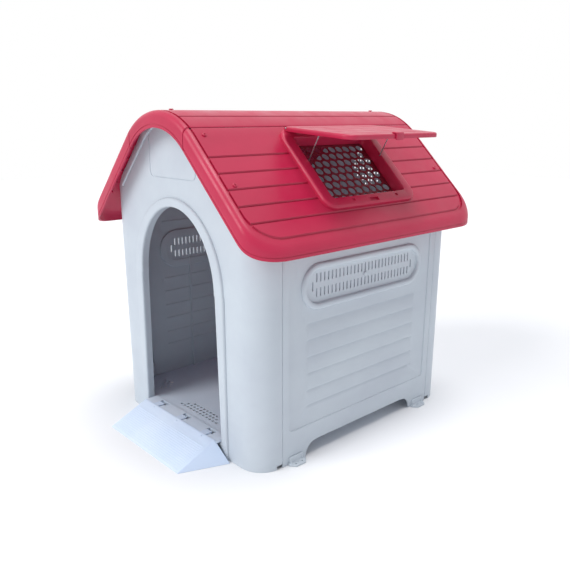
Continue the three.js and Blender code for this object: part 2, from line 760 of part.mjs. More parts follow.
// A foot bracket for pegging the kennel down, drawn for the front of the +X wall.
function anchorFoot() {
  const x = WALL.halfX + 0.4;
  const { halfLength: l, reach, sheet, tab } = ANCHOR;
  const plate = new THREE.Shape();
  plate.moveTo(x, -l);
  plate.lineTo(x + 8, -l);
  plate.lineTo(x + reach, -l + 13);
  plate.lineTo(x + reach, l - 13);
  plate.lineTo(x + 8, l);
  plate.lineTo(x, l);
  for (const [dx, dy, r] of [[13, -11, 3], [13, 11, 3], [8, 0, 2.4]]) {
    const hole = new THREE.Path();
    hole.absarc(x + dx, dy, r, 0, 2 * Math.PI, false);
    plate.holes.push(hole);
  }
  const upright = prismX(roundedRectangle(-l + 4, l - 4, 0, tab, 6), x, x + 3, 2);
  const gussets = [-20, 20].map((y) => {
    const rib = outline([
      [x + 1, sheet - 1],
      [x + 9, sheet - 1],
      [x + 1, tab - 4],
    ]);
    return prismY(rib, y - 1.5, y + 1.5);
  });
  return union([prismZ(plate, 0, sheet, 3), upright, ...gussets]).translate([0, -ANCHOR.y, 0]);
}

// ---- assembly -------------------------------------------------------------------------------

function anchors() {
  const foot = anchorFoot();
  return [
    part('anchor_foot_front_right', foot, WALL_GREY),
    part('anchor_foot_front_left', mirrorX(foot), WALL_GREY),
    part('anchor_foot_rear_right', mirrorY(foot), WALL_GREY),
    part('anchor_foot_rear_left', mirrorX(mirrorY(foot)), WALL_GREY),
  ];
}

function wallBolts() {
  const bolts = [];
  for (const [side, label] of [[1, 'right'], [-1, 'left']]) {
    for (const [end, at] of [[-1, 'front'], [1, 'rear']]) {
      BOLT.heights.forEach((z, i) => {
        const bolt = part(`wall_bolt_${at}_${label}_${i ? 'upper' : 'lower'}`, wallBolt(), STEEL);
        bolt.position.set(side * BOLT.x, end * WALL.seamY, z);
        bolts.push(bolt);
      });
    }
  }
  return bolts;
}

const house = new THREE.Group();
house.position.set(SHIFT_X, SHIFT_Y, 0);
house.add(
  part('front_wall', frontWall(), WALL_GREY),
  part('rear_wall', rearWall(), WALL_GREY),
  part('side_wall_right', sideWall(), WALL_GREY),
  part('side_wall_left', leftWall(), WALL_GREY),
  part('floor_pan', floorPan(), FLOOR_GREY),
  part('entrance_ramp', entranceRamp(), RAMP_BLUE),
  ...wallBolts(),
  ...anchors(),
  ...roofParts(),
  ...roofScrews(),
  skylight(),
);

const kennel = new THREE.Group();
kennel.add(house);

export default kennel;
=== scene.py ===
"""A knock-down moulded kennel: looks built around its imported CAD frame.

Every piece is modelled about the house's own centre line, in metres, then moved to the frame.
Sizes in the classes below are millimetres of the real mouldings.
"""

from __future__ import annotations

import logging
import math
from dataclasses import dataclass
from enum import Enum
from typing import Callable, Iterable, Sequence

import bmesh
import bpy
from mathutils import Matrix, Vector


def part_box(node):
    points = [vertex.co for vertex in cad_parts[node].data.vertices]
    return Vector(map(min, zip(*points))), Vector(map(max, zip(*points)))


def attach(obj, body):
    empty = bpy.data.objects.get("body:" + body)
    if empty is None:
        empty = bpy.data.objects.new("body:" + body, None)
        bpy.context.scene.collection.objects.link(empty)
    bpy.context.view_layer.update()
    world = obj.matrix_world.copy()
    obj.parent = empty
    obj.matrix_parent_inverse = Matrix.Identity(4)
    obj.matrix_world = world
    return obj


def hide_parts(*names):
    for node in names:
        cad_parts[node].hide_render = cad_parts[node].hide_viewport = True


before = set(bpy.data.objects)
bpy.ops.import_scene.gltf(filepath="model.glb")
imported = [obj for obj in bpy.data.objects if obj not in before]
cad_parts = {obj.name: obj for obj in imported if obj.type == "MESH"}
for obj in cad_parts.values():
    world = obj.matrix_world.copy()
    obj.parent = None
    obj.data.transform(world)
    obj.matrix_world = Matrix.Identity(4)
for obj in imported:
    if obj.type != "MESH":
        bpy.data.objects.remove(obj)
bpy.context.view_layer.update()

LOG = logging.getLogger("kennel")
MM = 0.001
TINY = 1e-5
COPLANAR_DEGREES = 0.2
CAD_COPLANAR_DEGREES = 0.5

Point = Sequence[float]
Outline = list[tuple[float, float]]
Test = Callable[[object], bool]


# ---- the bench: modelling by operators -------------------------------------------------------


def deselect_all() -> None:
    """Leave edit mode and deselect every object, the CAD nodes among them."""
    if bpy.context.object and bpy.context.object.mode != "OBJECT":
        bpy.ops.object.mode_set(mode="OBJECT")
    bpy.ops.object.select_all(action="DESELECT")


class Work:
    """One mesh on the bench, with the operators that shape it.

    Args:
        obj: the mesh object, at the origin.
    """

    def __init__(self, obj: bpy.types.Object) -> None:
        """Take an object onto the bench."""
        self.obj = obj

    def activate(self) -> None:
        """Make this the only selected object."""
        deselect_all()
        self.obj.select_set(True)
        bpy.context.view_layer.objects.active = self.obj

    def edit(self, kind: str, test: Test | None = None) -> None:
        """Enter edit mode and select by a test.

        Args:
            kind: VERT, EDGE or FACE.
            test: chooses the elements; without one, everything is selected.
        """
        self.activate()
        bpy.ops.object.mode_set(mode="EDIT")
        bpy.ops.mesh.select_mode(type=kind)
        bpy.ops.mesh.select_all(action="SELECT" if test is None else "DESELECT")
        if test is None:
            return
        mesh = bmesh.from_edit_mesh(self.obj.data)
        parts = {"VERT": mesh.verts, "EDGE": mesh.edges, "FACE": mesh.faces}[kind]
        parts.ensure_lookup_table()
        for part in [p for p in parts if test(p)]:
            part.select_set(True)
        mesh.select_flush_mode()
        bmesh.update_edit_mesh(self.obj.data)

    def done(self) -> Work:
        """Leave edit mode."""
        bpy.ops.object.mode_set(mode="OBJECT")
        return self

    def bevel(self, test: Test, width: float, segments: int = 3, kind: str = "OFFSET") -> Work:
        """Round the chosen edges.

        Args:
            test: chooses the edges.
            width: millimetres, measured as kind says.
            segments: steps across the round.
            kind: how the operator measures the width.

        Returns:
            This mesh.
        """
        self.edit("EDGE", test)
        bpy.ops.mesh.bevel(
            offset_type=kind,
            offset=width * MM,
            segments=segments,
            profile=0.5,
            affect="EDGES",
            clamp_overlap=False,
        )
        return self.done()

    def bisect(self, point: Point, normal: Point) -> Work:
        """Slice every face with a plane, its point in millimetres, and keep both sides."""
        self.edit("FACE")
        bpy.ops.mesh.bisect(plane_co=Vector(point) * MM, plane_no=normal, threshold=1e-6)
        return self.done()

    def shift(self, test: Test, step: Point) -> Work:
        """Move the chosen vertices by a step in millimetres."""
        self.edit("VERT", test)
        bpy.ops.transform.translate(value=Vector(step) * MM)
        return self.done()

    def stretch(self, scale: Point) -> Work:
        """Scale the whole mesh about the origin."""
        self.edit("VERT")
        bpy.ops.transform.resize(value=scale, center_override=(0, 0, 0))
        return self.done()

    def close(self) -> Work:
        """Close the hairline slits that a cut can leave between points in one line."""
        self.edit("EDGE", lambda e: len(e.link_faces) == 1)
        bpy.ops.mesh.fill_holes(sides=0)
        return self.done()

    def place(self, matrix: Matrix) -> Work:
        """Apply a placement to the mesh, leaving the object at the origin."""
        self.activate()
        self.obj.matrix_world = matrix
        bpy.ops.object.transform_apply(location=True, rotation=True, scale=True)
        return self

    def combine(self, other: Work, operation: str) -> Work:
        """Join, cut or keep what is shared with another solid, and use that solid up.

        Args:
            other: the other solid, which is used up.
            operation: DIFFERENCE, UNION or INTERSECT.

        Returns:
            This mesh.
        """
        self.activate()
        modifier = self.obj.modifiers.new("combine", "BOOLEAN")
        modifier.operation = operation
        modifier.object = other.obj
        modifier.solver = "EXACT"
        bpy.ops.object.modifier_apply(modifier=modifier.name)
        bpy.data.objects.remove(other.obj)
        return self

    def cut(self, *others: Work) -> Work:
        """Cut other solids away."""
        for other in others:
            self.combine(other, "DIFFERENCE")
        return self

    def add(self, *others: Work) -> Work:
        """Weld other solids on."""
        for other in others:
            self.combine(other, "UNION")
        return self

    def keep(self, other: Work) -> Work:
        """Keep what lies inside another solid."""
        return self.combine(other, "INTERSECT")

    def gather(self, *others: Work) -> Work:
        """Take loose pieces into this mesh as they are."""
        self.activate()
        for other in others:
            other.obj.select_set(True)
        bpy.ops.object.join()
        return self

    def array(self, count: int, step: Point) -> Work:
        """Repeat the mesh in a row.

        Args:
            count: how many in all.
            step: from one to the next, in millimetres.

        Returns:
            This mesh.
        """
        self.activate()
        modifier = self.obj.modifiers.new("row", "ARRAY")
        modifier.count = count
        modifier.use_relative_offset = False
        modifier.use_constant_offset = True
        modifier.constant_offset_displace = Vector(step) * MM
        bpy.ops.object.modifier_apply(modifier=modifier.name)
        return self

    def copy(self) -> Work:
        """A second one with its own mesh."""
        twin = self.obj.copy()
        twin.data = self.obj.data.copy()
        bpy.context.scene.collection.objects.link(twin)
        return Work(twin)

    def mirrored(self, axis: Point) -> Work:
        """Turn the mesh into its mirror image, faces pointing out."""
        self.stretch(axis)
        self.edit("FACE")
        bpy.ops.mesh.normals_make_consistent(inside=False)
        return self.done()


def bundle(works: Sequence[Work]) -> Work:
    """Loose pieces as one mesh."""
    return works[0].gather(*works[1:])


def block(low: Point, high: Point) -> Work:
    """A box from its lowest to its highest corner, in millimetres.

    Args:
        low: its lowest corner, in millimetres.
        high: its highest corner.

    Returns:
        The box.
    """
    deselect_all()
    low_point = Vector(low) * MM
    high_point = Vector(high) * MM
    bpy.ops.mesh.primitive_cube_add(size=1, location=(low_point + high_point) / 2)
    obj = bpy.context.object
    obj.scale = high_point - low_point
    bpy.ops.object.transform_apply(location=True, rotation=True, scale=True)
    return Work(obj)


def rod(radius: float, low: float, high: float, matrix: Matrix, sides: int = 24) -> Work:
    """A round bar along the placement's Z, in millimetres.

    Args:
        radius: its radius, in millimetres.
        low: where it starts along the placement's Z.
        high: where it ends.
        matrix: the placement.
        sides: how many flat sides it has.

    Returns:
        The bar.
    """
    deselect_all()
    middle = (low + high) / 2 * MM
    bpy.ops.mesh.primitive_cylinder_add(
        vertices=sides, radius=radius * MM, depth=(high - low) * MM, location=(0, 0, middle)
    )
    work = Work(bpy.context.object)
    bpy.ops.object.transform_apply(location=True, rotation=True, scale=True)
    return work.place(matrix)


def prism(outlines: Iterable[Outline], low: float, high: float, matrix: Matrix) -> Work:
    """A plate from closed outlines: the first is its edge, the others are holes.

    Args:
        outlines: points in millimetres, in the placement's XY plane.
        low: the plate's lower face along the placement's Z.
        high: its upper face.
        matrix: the placement.

    Returns:
        The plate.
    """
    deselect_all()
    curve = bpy.data.curves.new("plate", "CURVE")
    curve.dimensions = "2D"
    curve.fill_mode = "BOTH"
    curve.extrude = (high - low) / 2 * MM
    for points in outlines:
        spline = curve.splines.new("POLY")
        spline.points.add(len(points) - 1)
        for corner, (x, y) in zip(spline.points, points):
            corner.co = (x * MM, y * MM, 0, 1)
        spline.use_cyclic_u = True
    obj = bpy.data.objects.new("plate", curve)
    bpy.context.scene.collection.objects.link(obj)
    obj.select_set(True)
    bpy.context.view_layer.objects.active = obj
    bpy.ops.object.convert(target="MESH")
    work = Work(bpy.context.object)
    work.edit("VERT")
    bpy.ops.mesh.remove_doubles(threshold=1e-7)
    bpy.ops.mesh.dissolve_limited(angle_limit=math.radians(COPLANAR_DEGREES))
    bpy.ops.mesh.normals_make_consistent(inside=False)
    work.done()
    lift = Matrix.Translation((0, 0, (low + high) / 2 * MM))
    return work.place(matrix @ lift)


def cad_copy(node: str) -> Work:
    """A merged copy of a CAD node's solid, moved to the bench.

    Args:
        node: the CAD node's name.

    Returns:
        The copy.
    """
    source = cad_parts[node]
    twin = source.copy()
    twin.data = source.data.copy()
    twin.parent = None
    for key in list(twin.keys()):
        del twin[key]
    bpy.context.scene.collection.objects.link(twin)
    work = Work(twin)
    work.place(Matrix.Translation(-HOUSE))
    work.edit("VERT")
    bpy.ops.mesh.remove_doubles(threshold=1e-6)
    bpy.ops.mesh.dissolve_limited(angle_limit=math.radians(CAD_COPLANAR_DEGREES))
    return work.done()


def placement(x_axis: Point, y_axis: Point, z_axis: Point, origin: Point = (0, 0, 0)) -> Matrix:
    """A placement from its three axes and its origin in millimetres."""
    matrix = Matrix((x_axis, y_axis, z_axis)).transposed().to_4x4()
    matrix.translation = Vector(origin) * MM
    return matrix


UPRIGHT = Matrix.Identity(4)
FACING_FRONT = placement((1, 0, 0), (0, 0, 1), (0, -1, 0))
FACING_RIGHT = placement((0, 1, 0), (0, 0, 1), (1, 0, 0))
ALONG_Y = placement((0, 0, 1), (1, 0, 0), (0, 1, 0))
HOUSE_LOW, HOUSE_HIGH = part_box("ridge_cap")
HOUSE = Vector(((HOUSE_LOW.x + HOUSE_HIGH.x) / 2, (HOUSE_LOW.y + HOUSE_HIGH.y) / 2, 0))


def ridgewise(x: float, z: float, base: Matrix = UPRIGHT) -> Matrix:
    """A placement whose Z runs along the ridge, at a place in millimetres of the base's axes."""
    return base @ Matrix.Translation((x * MM, 0, z * MM)) @ ALONG_Y


def sharp(edge: bmesh.types.BMEdge, least: float = 30) -> bool:
    """Whether an edge turns by more than some degrees."""
    return len(edge.link_faces) == 2 and edge.calc_face_angle() > math.radians(least)


def crest_on(axis: int, value: float, least: float = 30) -> Test:
    """A test for the sharp edges that lie on a plane across an axis.

    Args:
        axis: 0 to 2, the axis that the plane crosses.
        value: where it crosses, in millimetres.
        least: the degrees that an edge has to turn by.

    Returns:
        The test.
    """

    def test(edge: bmesh.types.BMEdge) -> bool:
        """Whether both ends of the edge are on the plane, and the edge is sharp."""
        return all(abs(v.co[axis] / MM - value) < 0.02 for v in edge.verts) and sharp(edge, least)

    return test


# ---- outlines --------------------------------------------------------------------------------


def arc(
    cx: float, cy: float, rx: float, ry: float, start: float, end: float, steps: int
) -> Outline:
    """Points of an elliptical arc between two angles in degrees."""
    angles = [math.radians(start + (end - start) * i / steps) for i in range(steps + 1)]
    return [(cx + rx * math.cos(a), cy + ry * math.sin(a)) for a in angles]


def rounded(
    x0: float,
    x1: float,
    y0: float,
    y1: float,
    rx: float,
    steps: int = 8,
    ry: float | None = None,
) -> Outline:
    """A rectangle with round corners.

    Args:
        x0: its left side.
        x1: its right side.
        y0: its lower side.
        y1: its upper side.
        rx: the corners' radius.
        steps: chords in each corner.
        ry: the corners' other radius, where they are elliptical.

    Returns:
        The outline.
    """
    ry = rx if ry is None else ry
    centres = ((x1 - rx, y1 - ry), (x0 + rx, y1 - ry), (x0 + rx, y0 + ry), (x1 - rx, y0 + ry))
    points: Outline = []
    for quarter, (cx, cy) in enumerate(centres):
        points += arc(cx, cy, rx, ry, 90 * quarter, 90 * quarter + 90, steps)
    return points


def bezier(start: Point, knee: Point, end: Point, steps: int) -> Outline:
    """Points of a quadratic curve."""
    points = []
    for i in range(steps + 1):
        t = i / steps
        a, b, c = (1 - t) ** 2, 2 * t * (1 - t), t * t
        points.append(tuple(a * p + b * q + c * r for p, q, r in zip(start, knee, end)))
    return points


def stadium(cx: float, cy: float, half: float, radius: float, steps: int = 16) -> Outline:
    """A long shape with half-round ends."""
    return [
        *arc(cx + half - radius, cy, radius, radius, -90, 90, steps),
        *arc(cx - half + radius, cy, radius, radius, 90, 270, steps),
    ]


# ---- finishes --------------------------------------------------------------------------------


def linear(colour: str) -> tuple[float, float, float, float]:
    """Turn an sRGB hex colour to the linear values a shader takes.

    Args:
        colour: six hex digits.

    Returns:
        Red, green, blue and full alpha.
    """
    channels = [int(colour[i : i + 2], 16) / 255 for i in (0, 2, 4)]
    straight = [c / 12.92 if c <= 0.04045 else ((c + 0.055) / 1.055) ** 2.4 for c in channels]
    return (*straight, 1.0)


def add_node(
    tree: bpy.types.NodeTree,
    kind: str,
    settings: dict[str, object] | None = None,
    links: dict[str, bpy.types.NodeSocket] | None = None,
) -> bpy.types.Node:
    """Add a shader node.

    Args:
        tree: the node tree.
        kind: the node's type name.
        settings: values of its properties or, by name, of its inputs.
        links: what feeds its inputs.

    Returns:
        The node.
    """
    node = tree.nodes.new(kind)
    for key, value in (settings or {}).items():
        if hasattr(node, key) and key not in node.inputs:
            setattr(node, key, value)
        else:
            node.inputs[key].default_value = value
    for key, socket in (links or {}).items():
        tree.links.new(socket, node.inputs[key])
    return node


def noise(
    tree: bpy.types.NodeTree,
    place: bpy.types.NodeSocket,
    size: float,
    detail: float = 2.0,
    roughness: float = 0.5,
) -> bpy.types.NodeSocket:
    """A noise pattern.

    Args:
        tree: the node tree.
        place: the coordinates it is laid on.
        size: how large its grains are, in millimetres.
        detail: how many finer layers it has.
        roughness: how strong these are.

    Returns:
        Its value, from 0 to 1.
    """
    settings = {"Scale": 1 / (size * MM), "Detail": detail, "Roughness": roughness}
    return add_node(tree, "ShaderNodeTexNoise", settings, {"Vector": place}).outputs["Fac"]


def spread(
    tree: bpy.types.NodeTree,
    value: bpy.types.NodeSocket,
    source: tuple[float, float],
    target: tuple[float, float],
) -> bpy.types.NodeSocket:
    """Spread a value from one range to another.

    Args:
        tree: the node tree.
        value: what is spread.
        source: the range it comes from.
        target: the range it goes to.

    Returns:
        The new value.
    """
    names = ("From Min", "From Max", "To Min", "To Max")
    settings = dict(zip(names, (*source, *target)))
    return add_node(tree, "ShaderNodeMapRange", settings, {"Value": value}).outputs["Result"]


def two_tone(
    tree: bpy.types.NodeTree, factor: bpy.types.NodeSocket, colour: str, shade: str
) -> bpy.types.NodeSocket:
    """Mix two hex colours by a factor."""
    mix = add_node(tree, "ShaderNodeMix", {"data_type": "RGBA"})
    mix.inputs[6].default_value = linear(colour)
    mix.inputs[7].default_value = linear(shade)
    tree.links.new(factor, mix.inputs[0])
    return mix.outputs[2]


def relief(
    tree: bpy.types.NodeTree, height: bpy.types.NodeSocket, strength: float, depth: float
) -> bpy.types.NodeSocket:
    """A bump from a height pattern, its depth in millimetres."""
    settings = {"Strength": strength, "Distance": depth * MM}
    return add_node(tree, "ShaderNodeBump", settings, {"Height": height}).outputs["Normal"]


def surface(
    tree: bpy.types.NodeTree, settings: dict[str, object], links: dict[str, bpy.types.NodeSocket]
) -> None:
    """Close the tree with its shader and output."""
    shader = add_node(tree, "ShaderNodeBsdfPrincipled", settings, links)
    add_node(tree, "ShaderNodeOutputMaterial", None, {"Surface": shader.outputs[0]})


@dataclass(frozen=True)
class Finish:
    """What every finish has: a name, a shop name for its slot, and a cached material."""

    name: str
    slot: str
    colour: str
    shade: str
    roughness: float

    def material(self) -> bpy.types.Material:
        """The finish's material, made on its first use.

        Returns:
            The material.
        """
        found = bpy.data.materials.get(self.name)
        if found:
            return found
        material = bpy.data.materials.new(self.name)
        material.use_nodes = True
        material.node_tree.nodes.clear()
        self.build(material.node_tree)
        return material

    def build(self, tree: bpy.types.NodeTree) -> None:
        """Lay out the nodes."""
        raise NotImplementedError


@dataclass(frozen=True)
class MouldedPolypropylene(Finish):
    """Injection-moulded polypropylene: a satin skin over a fine spark-eroded mould grain.

    The grain breaks up highlights, the colour drifts a little where the melt flowed, and dust
    and rain marks dull it in patches.
    """

    grain: float = 2.4
    grain_height: float = 0.08
    drift: float = 160
    patch: float = 45

    def build(self, tree: bpy.types.NodeTree) -> None:
        """Lay out drift of colour, patches of gloss and the mould grain.

        Args:
            tree: the material's nodes.
        """
        place = add_node(tree, "ShaderNodeTexCoord").outputs["Object"]
        flow = add_node(
            tree, "ShaderNodeMapping", {"Scale": (1.0, 0.45, 1.0)}, {"Vector": place}
        ).outputs["Vector"]
        drift = spread(tree, noise(tree, flow, self.drift, 4.0, 0.55), (0.32, 0.68), (0.0, 1.0))
        patches = noise(tree, place, self.patch, 5.0)
        gloss = (self.roughness - 0.06, self.roughness + 0.08)
        # Real grain is about 0.5 mm across; it is drawn coarser so that it shows.
        grain = noise(tree, place, self.grain, 3.0, 0.6)
        surface(
            tree,
            {"IOR": 1.49, "Metallic": 0.0, "Specular IOR Level": 0.45},
            {
                "Base Color": two_tone(tree, drift, self.colour, self.shade),
                "Roughness": spread(tree, patches, (0.3, 0.7), gloss),
                "Normal": relief(tree, grain, 0.35, self.grain_height),
            },
        )


@dataclass(frozen=True)
class ZincPlatedSteel(Finish):
    """Bright zinc on drawn wire: a clean metal whose colour shifts a little in small flakes."""

    flake: float = 4
    mark: float = 1.2
    mark_height: float = 0.05

    def build(self, tree: bpy.types.NodeTree) -> None:
        """Lay out the flakes and the drawing marks.

        Args:
            tree: the material's nodes.
        """
        place = add_node(tree, "ShaderNodeTexCoord").outputs["Object"]
        flakes = add_node(
            tree, "ShaderNodeTexVoronoi", {"Scale": 1 / (self.flake * MM)}, {"Vector": place}
        ).outputs["Distance"]
        marks = noise(tree, place, self.mark)
        gloss = (self.roughness - 0.08, self.roughness + 0.1)
        surface(
            tree,
            {"Metallic": 1.0},
            {
                "Base Color": two_tone(tree, flakes, self.colour, self.shade),
                "Roughness": spread(tree, marks, (0.0, 1.0), gloss),
                "Normal": relief(tree, marks, 0.3, self.mark_height),
            },
        )


class Shop(Enum):
    """The finishes the kennel is made in, and a darker copy of the roof's plastic that paints shade
    on the grille.
    """

    WALL = MouldedPolypropylene(
        "polypropylene_moulded_pale_grey", "wall_plastic", "CBD4DB", "C2CAD3", 0.44
    )
    FLOOR = MouldedPolypropylene(
        "polypropylene_moulded_floor_grey", "floor_plastic", "DFE9F6", "D3DFEE", 0.5
    )
    ROOF = MouldedPolypropylene(
        "polypropylene_moulded_raspberry", "roof_plastic", "C4234C", "B81E45", 0.36
    )
    RAMP = MouldedPolypropylene(
        "polypropylene_moulded_ice_blue", "ramp_plastic", "DDEAFC", "D2E2F9", 0.5
    )
    # The grille is a thin sheet of its own in the roof's plastic; its darker colour is painted
    # shade, the shadow that falls into the well under the lid.
    GRILLE = MouldedPolypropylene(
        "polypropylene_moulded_raspberry_painted_shade", "roof_plastic", "7C1A30", "70152A", 0.5
    )
    ZINC = ZincPlatedSteel("steel_wire_zinc_plated", "steel", "C3C5C8", "8F9398", 0.32)


SMOOTH_ANGLE = 32


def publish(work: Work, name: str, body: str, finish: Shop, *nodes: str) -> bpy.types.Object:
    """Finish a piece: move it from the bench to the frame, dress it and hang it on its body.

    Args:
        work: the finished mesh.
        name: the piece's name.
        body: the body it rides on.
        finish: what it is made of.
        nodes: the CAD nodes it stands for.

    Returns:
        The piece.
    """
    work.place(Matrix.Translation(HOUSE))
    work.close()
    work.activate()
    bpy.ops.object.shade_smooth_by_angle(angle=math.radians(SMOOTH_ANGLE))
    obj = work.obj
    obj.name = name
    obj.data.name = name
    obj.data.materials.clear()
    obj.data.materials.append(finish.value.material())
    deselect_all()
    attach(obj, body)
    if nodes:
        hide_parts(*nodes)
    LOG.info("%s: %d faces, rides on %s", name, len(obj.data.polygons), body)
    return obj


def dress(node: str, finish: Shop) -> None:
    """Give a CAD node that stays as it is its material."""
    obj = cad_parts[node]
    obj.data.materials.clear()
    obj.data.materials.append(finish.value.material())


# ---- roof ------------------------------------------------------------------------------------


@dataclass
class Roof:
    """Three red mouldings: a ridge cap and two slope panels, grooved like planks."""

    pitch: float = math.radians(44.2)
    ridge_radius: float = 215
    ridge_centre: float = 678.5
    half_length: float = 435
    half_width: float = 398
    eave_z: float = 570
    sheet: float = 5
    skirt: float = 42
    edge_round: float = 17
    corner_x: float = 68
    corner_y: float = 95
    cap_half: float = 125.5
    gap: float = 2.2
    border_x: float = 375
    border_y: float = 415
    border_corner: tuple[float, float] = (56, 78)
    turn_x: float = 318
    groove_width: float = 6.6
    groove_depth: float = 4
    groove_xs: tuple[float, ...] = (79, 196, 232, 267, 303, 338.5)
    low_z: float = 470
    arc_steps: int = 20

    def line(self, depth: float, x: float) -> Outline:
        """Points of the roof line, some depth under its face, from the ridge out to x."""
        radius = self.ridge_radius - depth
        end = 90 - math.degrees(self.pitch)
        curve = arc(0, self.ridge_centre, radius, radius, 90, end, self.arc_steps)
        tx, tz = curve[-1]
        return [*curve, (x, tz - (x - tx) * math.tan(self.pitch))]

    def section(self, depth: float, half_x: float, bottom: float | None = None) -> Outline:
        """A closed outline under the roof line, flat at the bottom."""
        right = self.line(depth, half_x)
        left = [(-x, z) for x, z in reversed(right)]
        base = [] if bottom is None else [(half_x, bottom), (-half_x, bottom)]
        return [*left, *right[1:], *base]

    def mouth(self, lift: float, bottom: float, back: float | None = None) -> Outline:
        """The skirt's lower edge, seen from the front, closed into an outline.

        Args:
            lift: how far above the edge the outline runs.
            bottom: how far below the eaves it closes.
            back: instead of closing below, it returns along the edge with this lift.

        Returns:
            The outline.
        """
        top = self.line(self.skirt, self.turn_x)
        turn_z = top[-1][1]
        knee = (self.turn_x + 38, turn_z - 38 * math.tan(self.pitch))
        tail = bezier(top[-1], knee, (self.half_width + 4, self.eave_z - 4), 8)
        half = [*top, *tail[1:]]
        edge = [*[(-x, z) for x, z in reversed(half)], *half[1:]]
        raised = [(x, z + lift) for x, z in edge]
        if back is None:
            low = self.eave_z - bottom
            return [*raised, (edge[-1][0], low), (edge[0][0], low)]
        return [*raised, *[(x, z + back) for x, z in reversed(edge)]]

    def slope(self) -> Matrix:
        """The axes of the right slope: down it, along the ridge, and out of it."""
        tx, tz = self.line(0, self.half_width)[-2]
        down = (math.cos(self.pitch), 0, -math.sin(self.pitch))
        out = (math.sin(self.pitch), 0, math.cos(self.pitch))
        return placement(down, (0, 1, 0), out, (tx, 0, tz))

    def solid(self, inset: float) -> Work:
        """The roof's solid, some inset inside its skin, its rim rounded all the way about.

        Args:
            inset: how far inside the skin it lies, in millimetres.

        Returns:
            The solid.
        """
        half_x = self.half_width - inset
        half_y = self.half_length - inset
        low = self.low_z - inset * 4
        section = self.section(inset, half_x + 40, low)
        body = prism([section], -half_y - 40, half_y + 40, FACING_FRONT)
        rx = self.corner_x - inset
        ry = self.corner_y - inset
        plan = rounded(-half_x, half_x, -half_y, half_y, rx, 12, ry)
        body.keep(prism([plan], low - 20, 950, UPRIGHT))

        def rim(edge: bmesh.types.BMEdge) -> bool:
            """The edge where the slopes meet the upright sides."""
            high = all(v.co.z > (low + 20) * MM for v in edge.verts)
            tops = [f.normal.z > 0.3 for f in edge.link_faces]
            return high and len(tops) == 2 and tops[0] != tops[1]

        return body.bevel(rim, self.edge_round - inset, 6)

    def shell(self) -> Work:
        """The whole roof as one skin, open below, with its plank grooves.

        Returns:
            The skin.
        """
        whole = self.solid(0).cut(self.solid(self.sheet))
        under = math.cos(self.pitch)
        mouth = prism([self.mouth(0, 500)], -500, 500, FACING_FRONT)
        whole.cut(mouth)
        lip = prism([self.mouth(9.5, 0, 7)], -500, 500, FACING_FRONT)
        whole.cut(lip.cut(self.solid(1.2)))
        half = self.groove_width / 2
        bx, by = self.border_x, self.border_y
        cx, cy = self.border_corner
        rings = [rounded(-bx - o, bx + o, -by - o, by + o, cx, 12, cy) for o in (half, -half)]
        tool = prism(rings, 500, 950, UPRIGHT)
        width = half * under
        bars = [
            block((s * x - width, -by, 500), (s * x + width, by, 950))
            for x in self.groove_xs
            for s in (-1, 1)
        ]
        tool.add(bundle(bars))
        upper = self.line(-2, 470)
        lower = self.line(self.groove_depth, 470)
        skin = [
            *[(-x, z) for x, z in reversed(upper)],
            *upper[1:],
            *reversed(lower),
            *[(-x, z) for x, z in lower[1:]],
        ]
        layer = prism([skin], -480, 480, FACING_FRONT)
        return whole.cut(tool.keep(layer))

    def pieces(self) -> tuple[Work, Work, Work]:
        """The ridge cap, the left panel and the right panel, parted at the seams.

        Returns:
            The cap, the left panel and the right panel.
        """
        edge = self.cap_half
        whole = self.shell()
        left = whole.copy()
        right = whole.copy()
        cap = whole.keep(block((-edge + self.gap / 2, -500, 500), (edge - self.gap / 2, 500, 950)))
        left.keep(block((-450, -500, 500), (-edge - self.gap / 2, 500, 950)))
        right.keep(block((edge + self.gap / 2, -500, 500), (450, 500, 950)))

        def seam(edge: bmesh.types.BMEdge) -> bool:
            """The outer edges along a seam."""
            spot = [v.co / MM for v in edge.verts]
            near = all(abs(abs(p.x) - self.cap_half) < self.gap for p in spot)
            tops = [f.normal for f in edge.link_faces if abs(f.normal.x) < 0.99]
            return near and sharp(edge, 40) and len(tops) == 1 and tops[0].z > 0.3

        for piece in (cap, left, right):
            piece.bevel(seam, 1.8, 2)
        right.add(self.verge_ribs())
        left.add(self.verge_ribs().mirrored((-1, 1, 1)))
        return cap, left, right

    def verge_ribs(self) -> Work:
        """Short stiffening ribs under both overhanging ends of the right slope."""
        ribs = [
            block((s - 2, min(y0, y1), -11), (s + 2, max(y0, y1), -4.4))
            for s in (38, 88, 138, 188, 232)
            for y0, y1 in ((-427, -397), (427, 397))
        ]
        return bundle(ribs).place(self.slope())


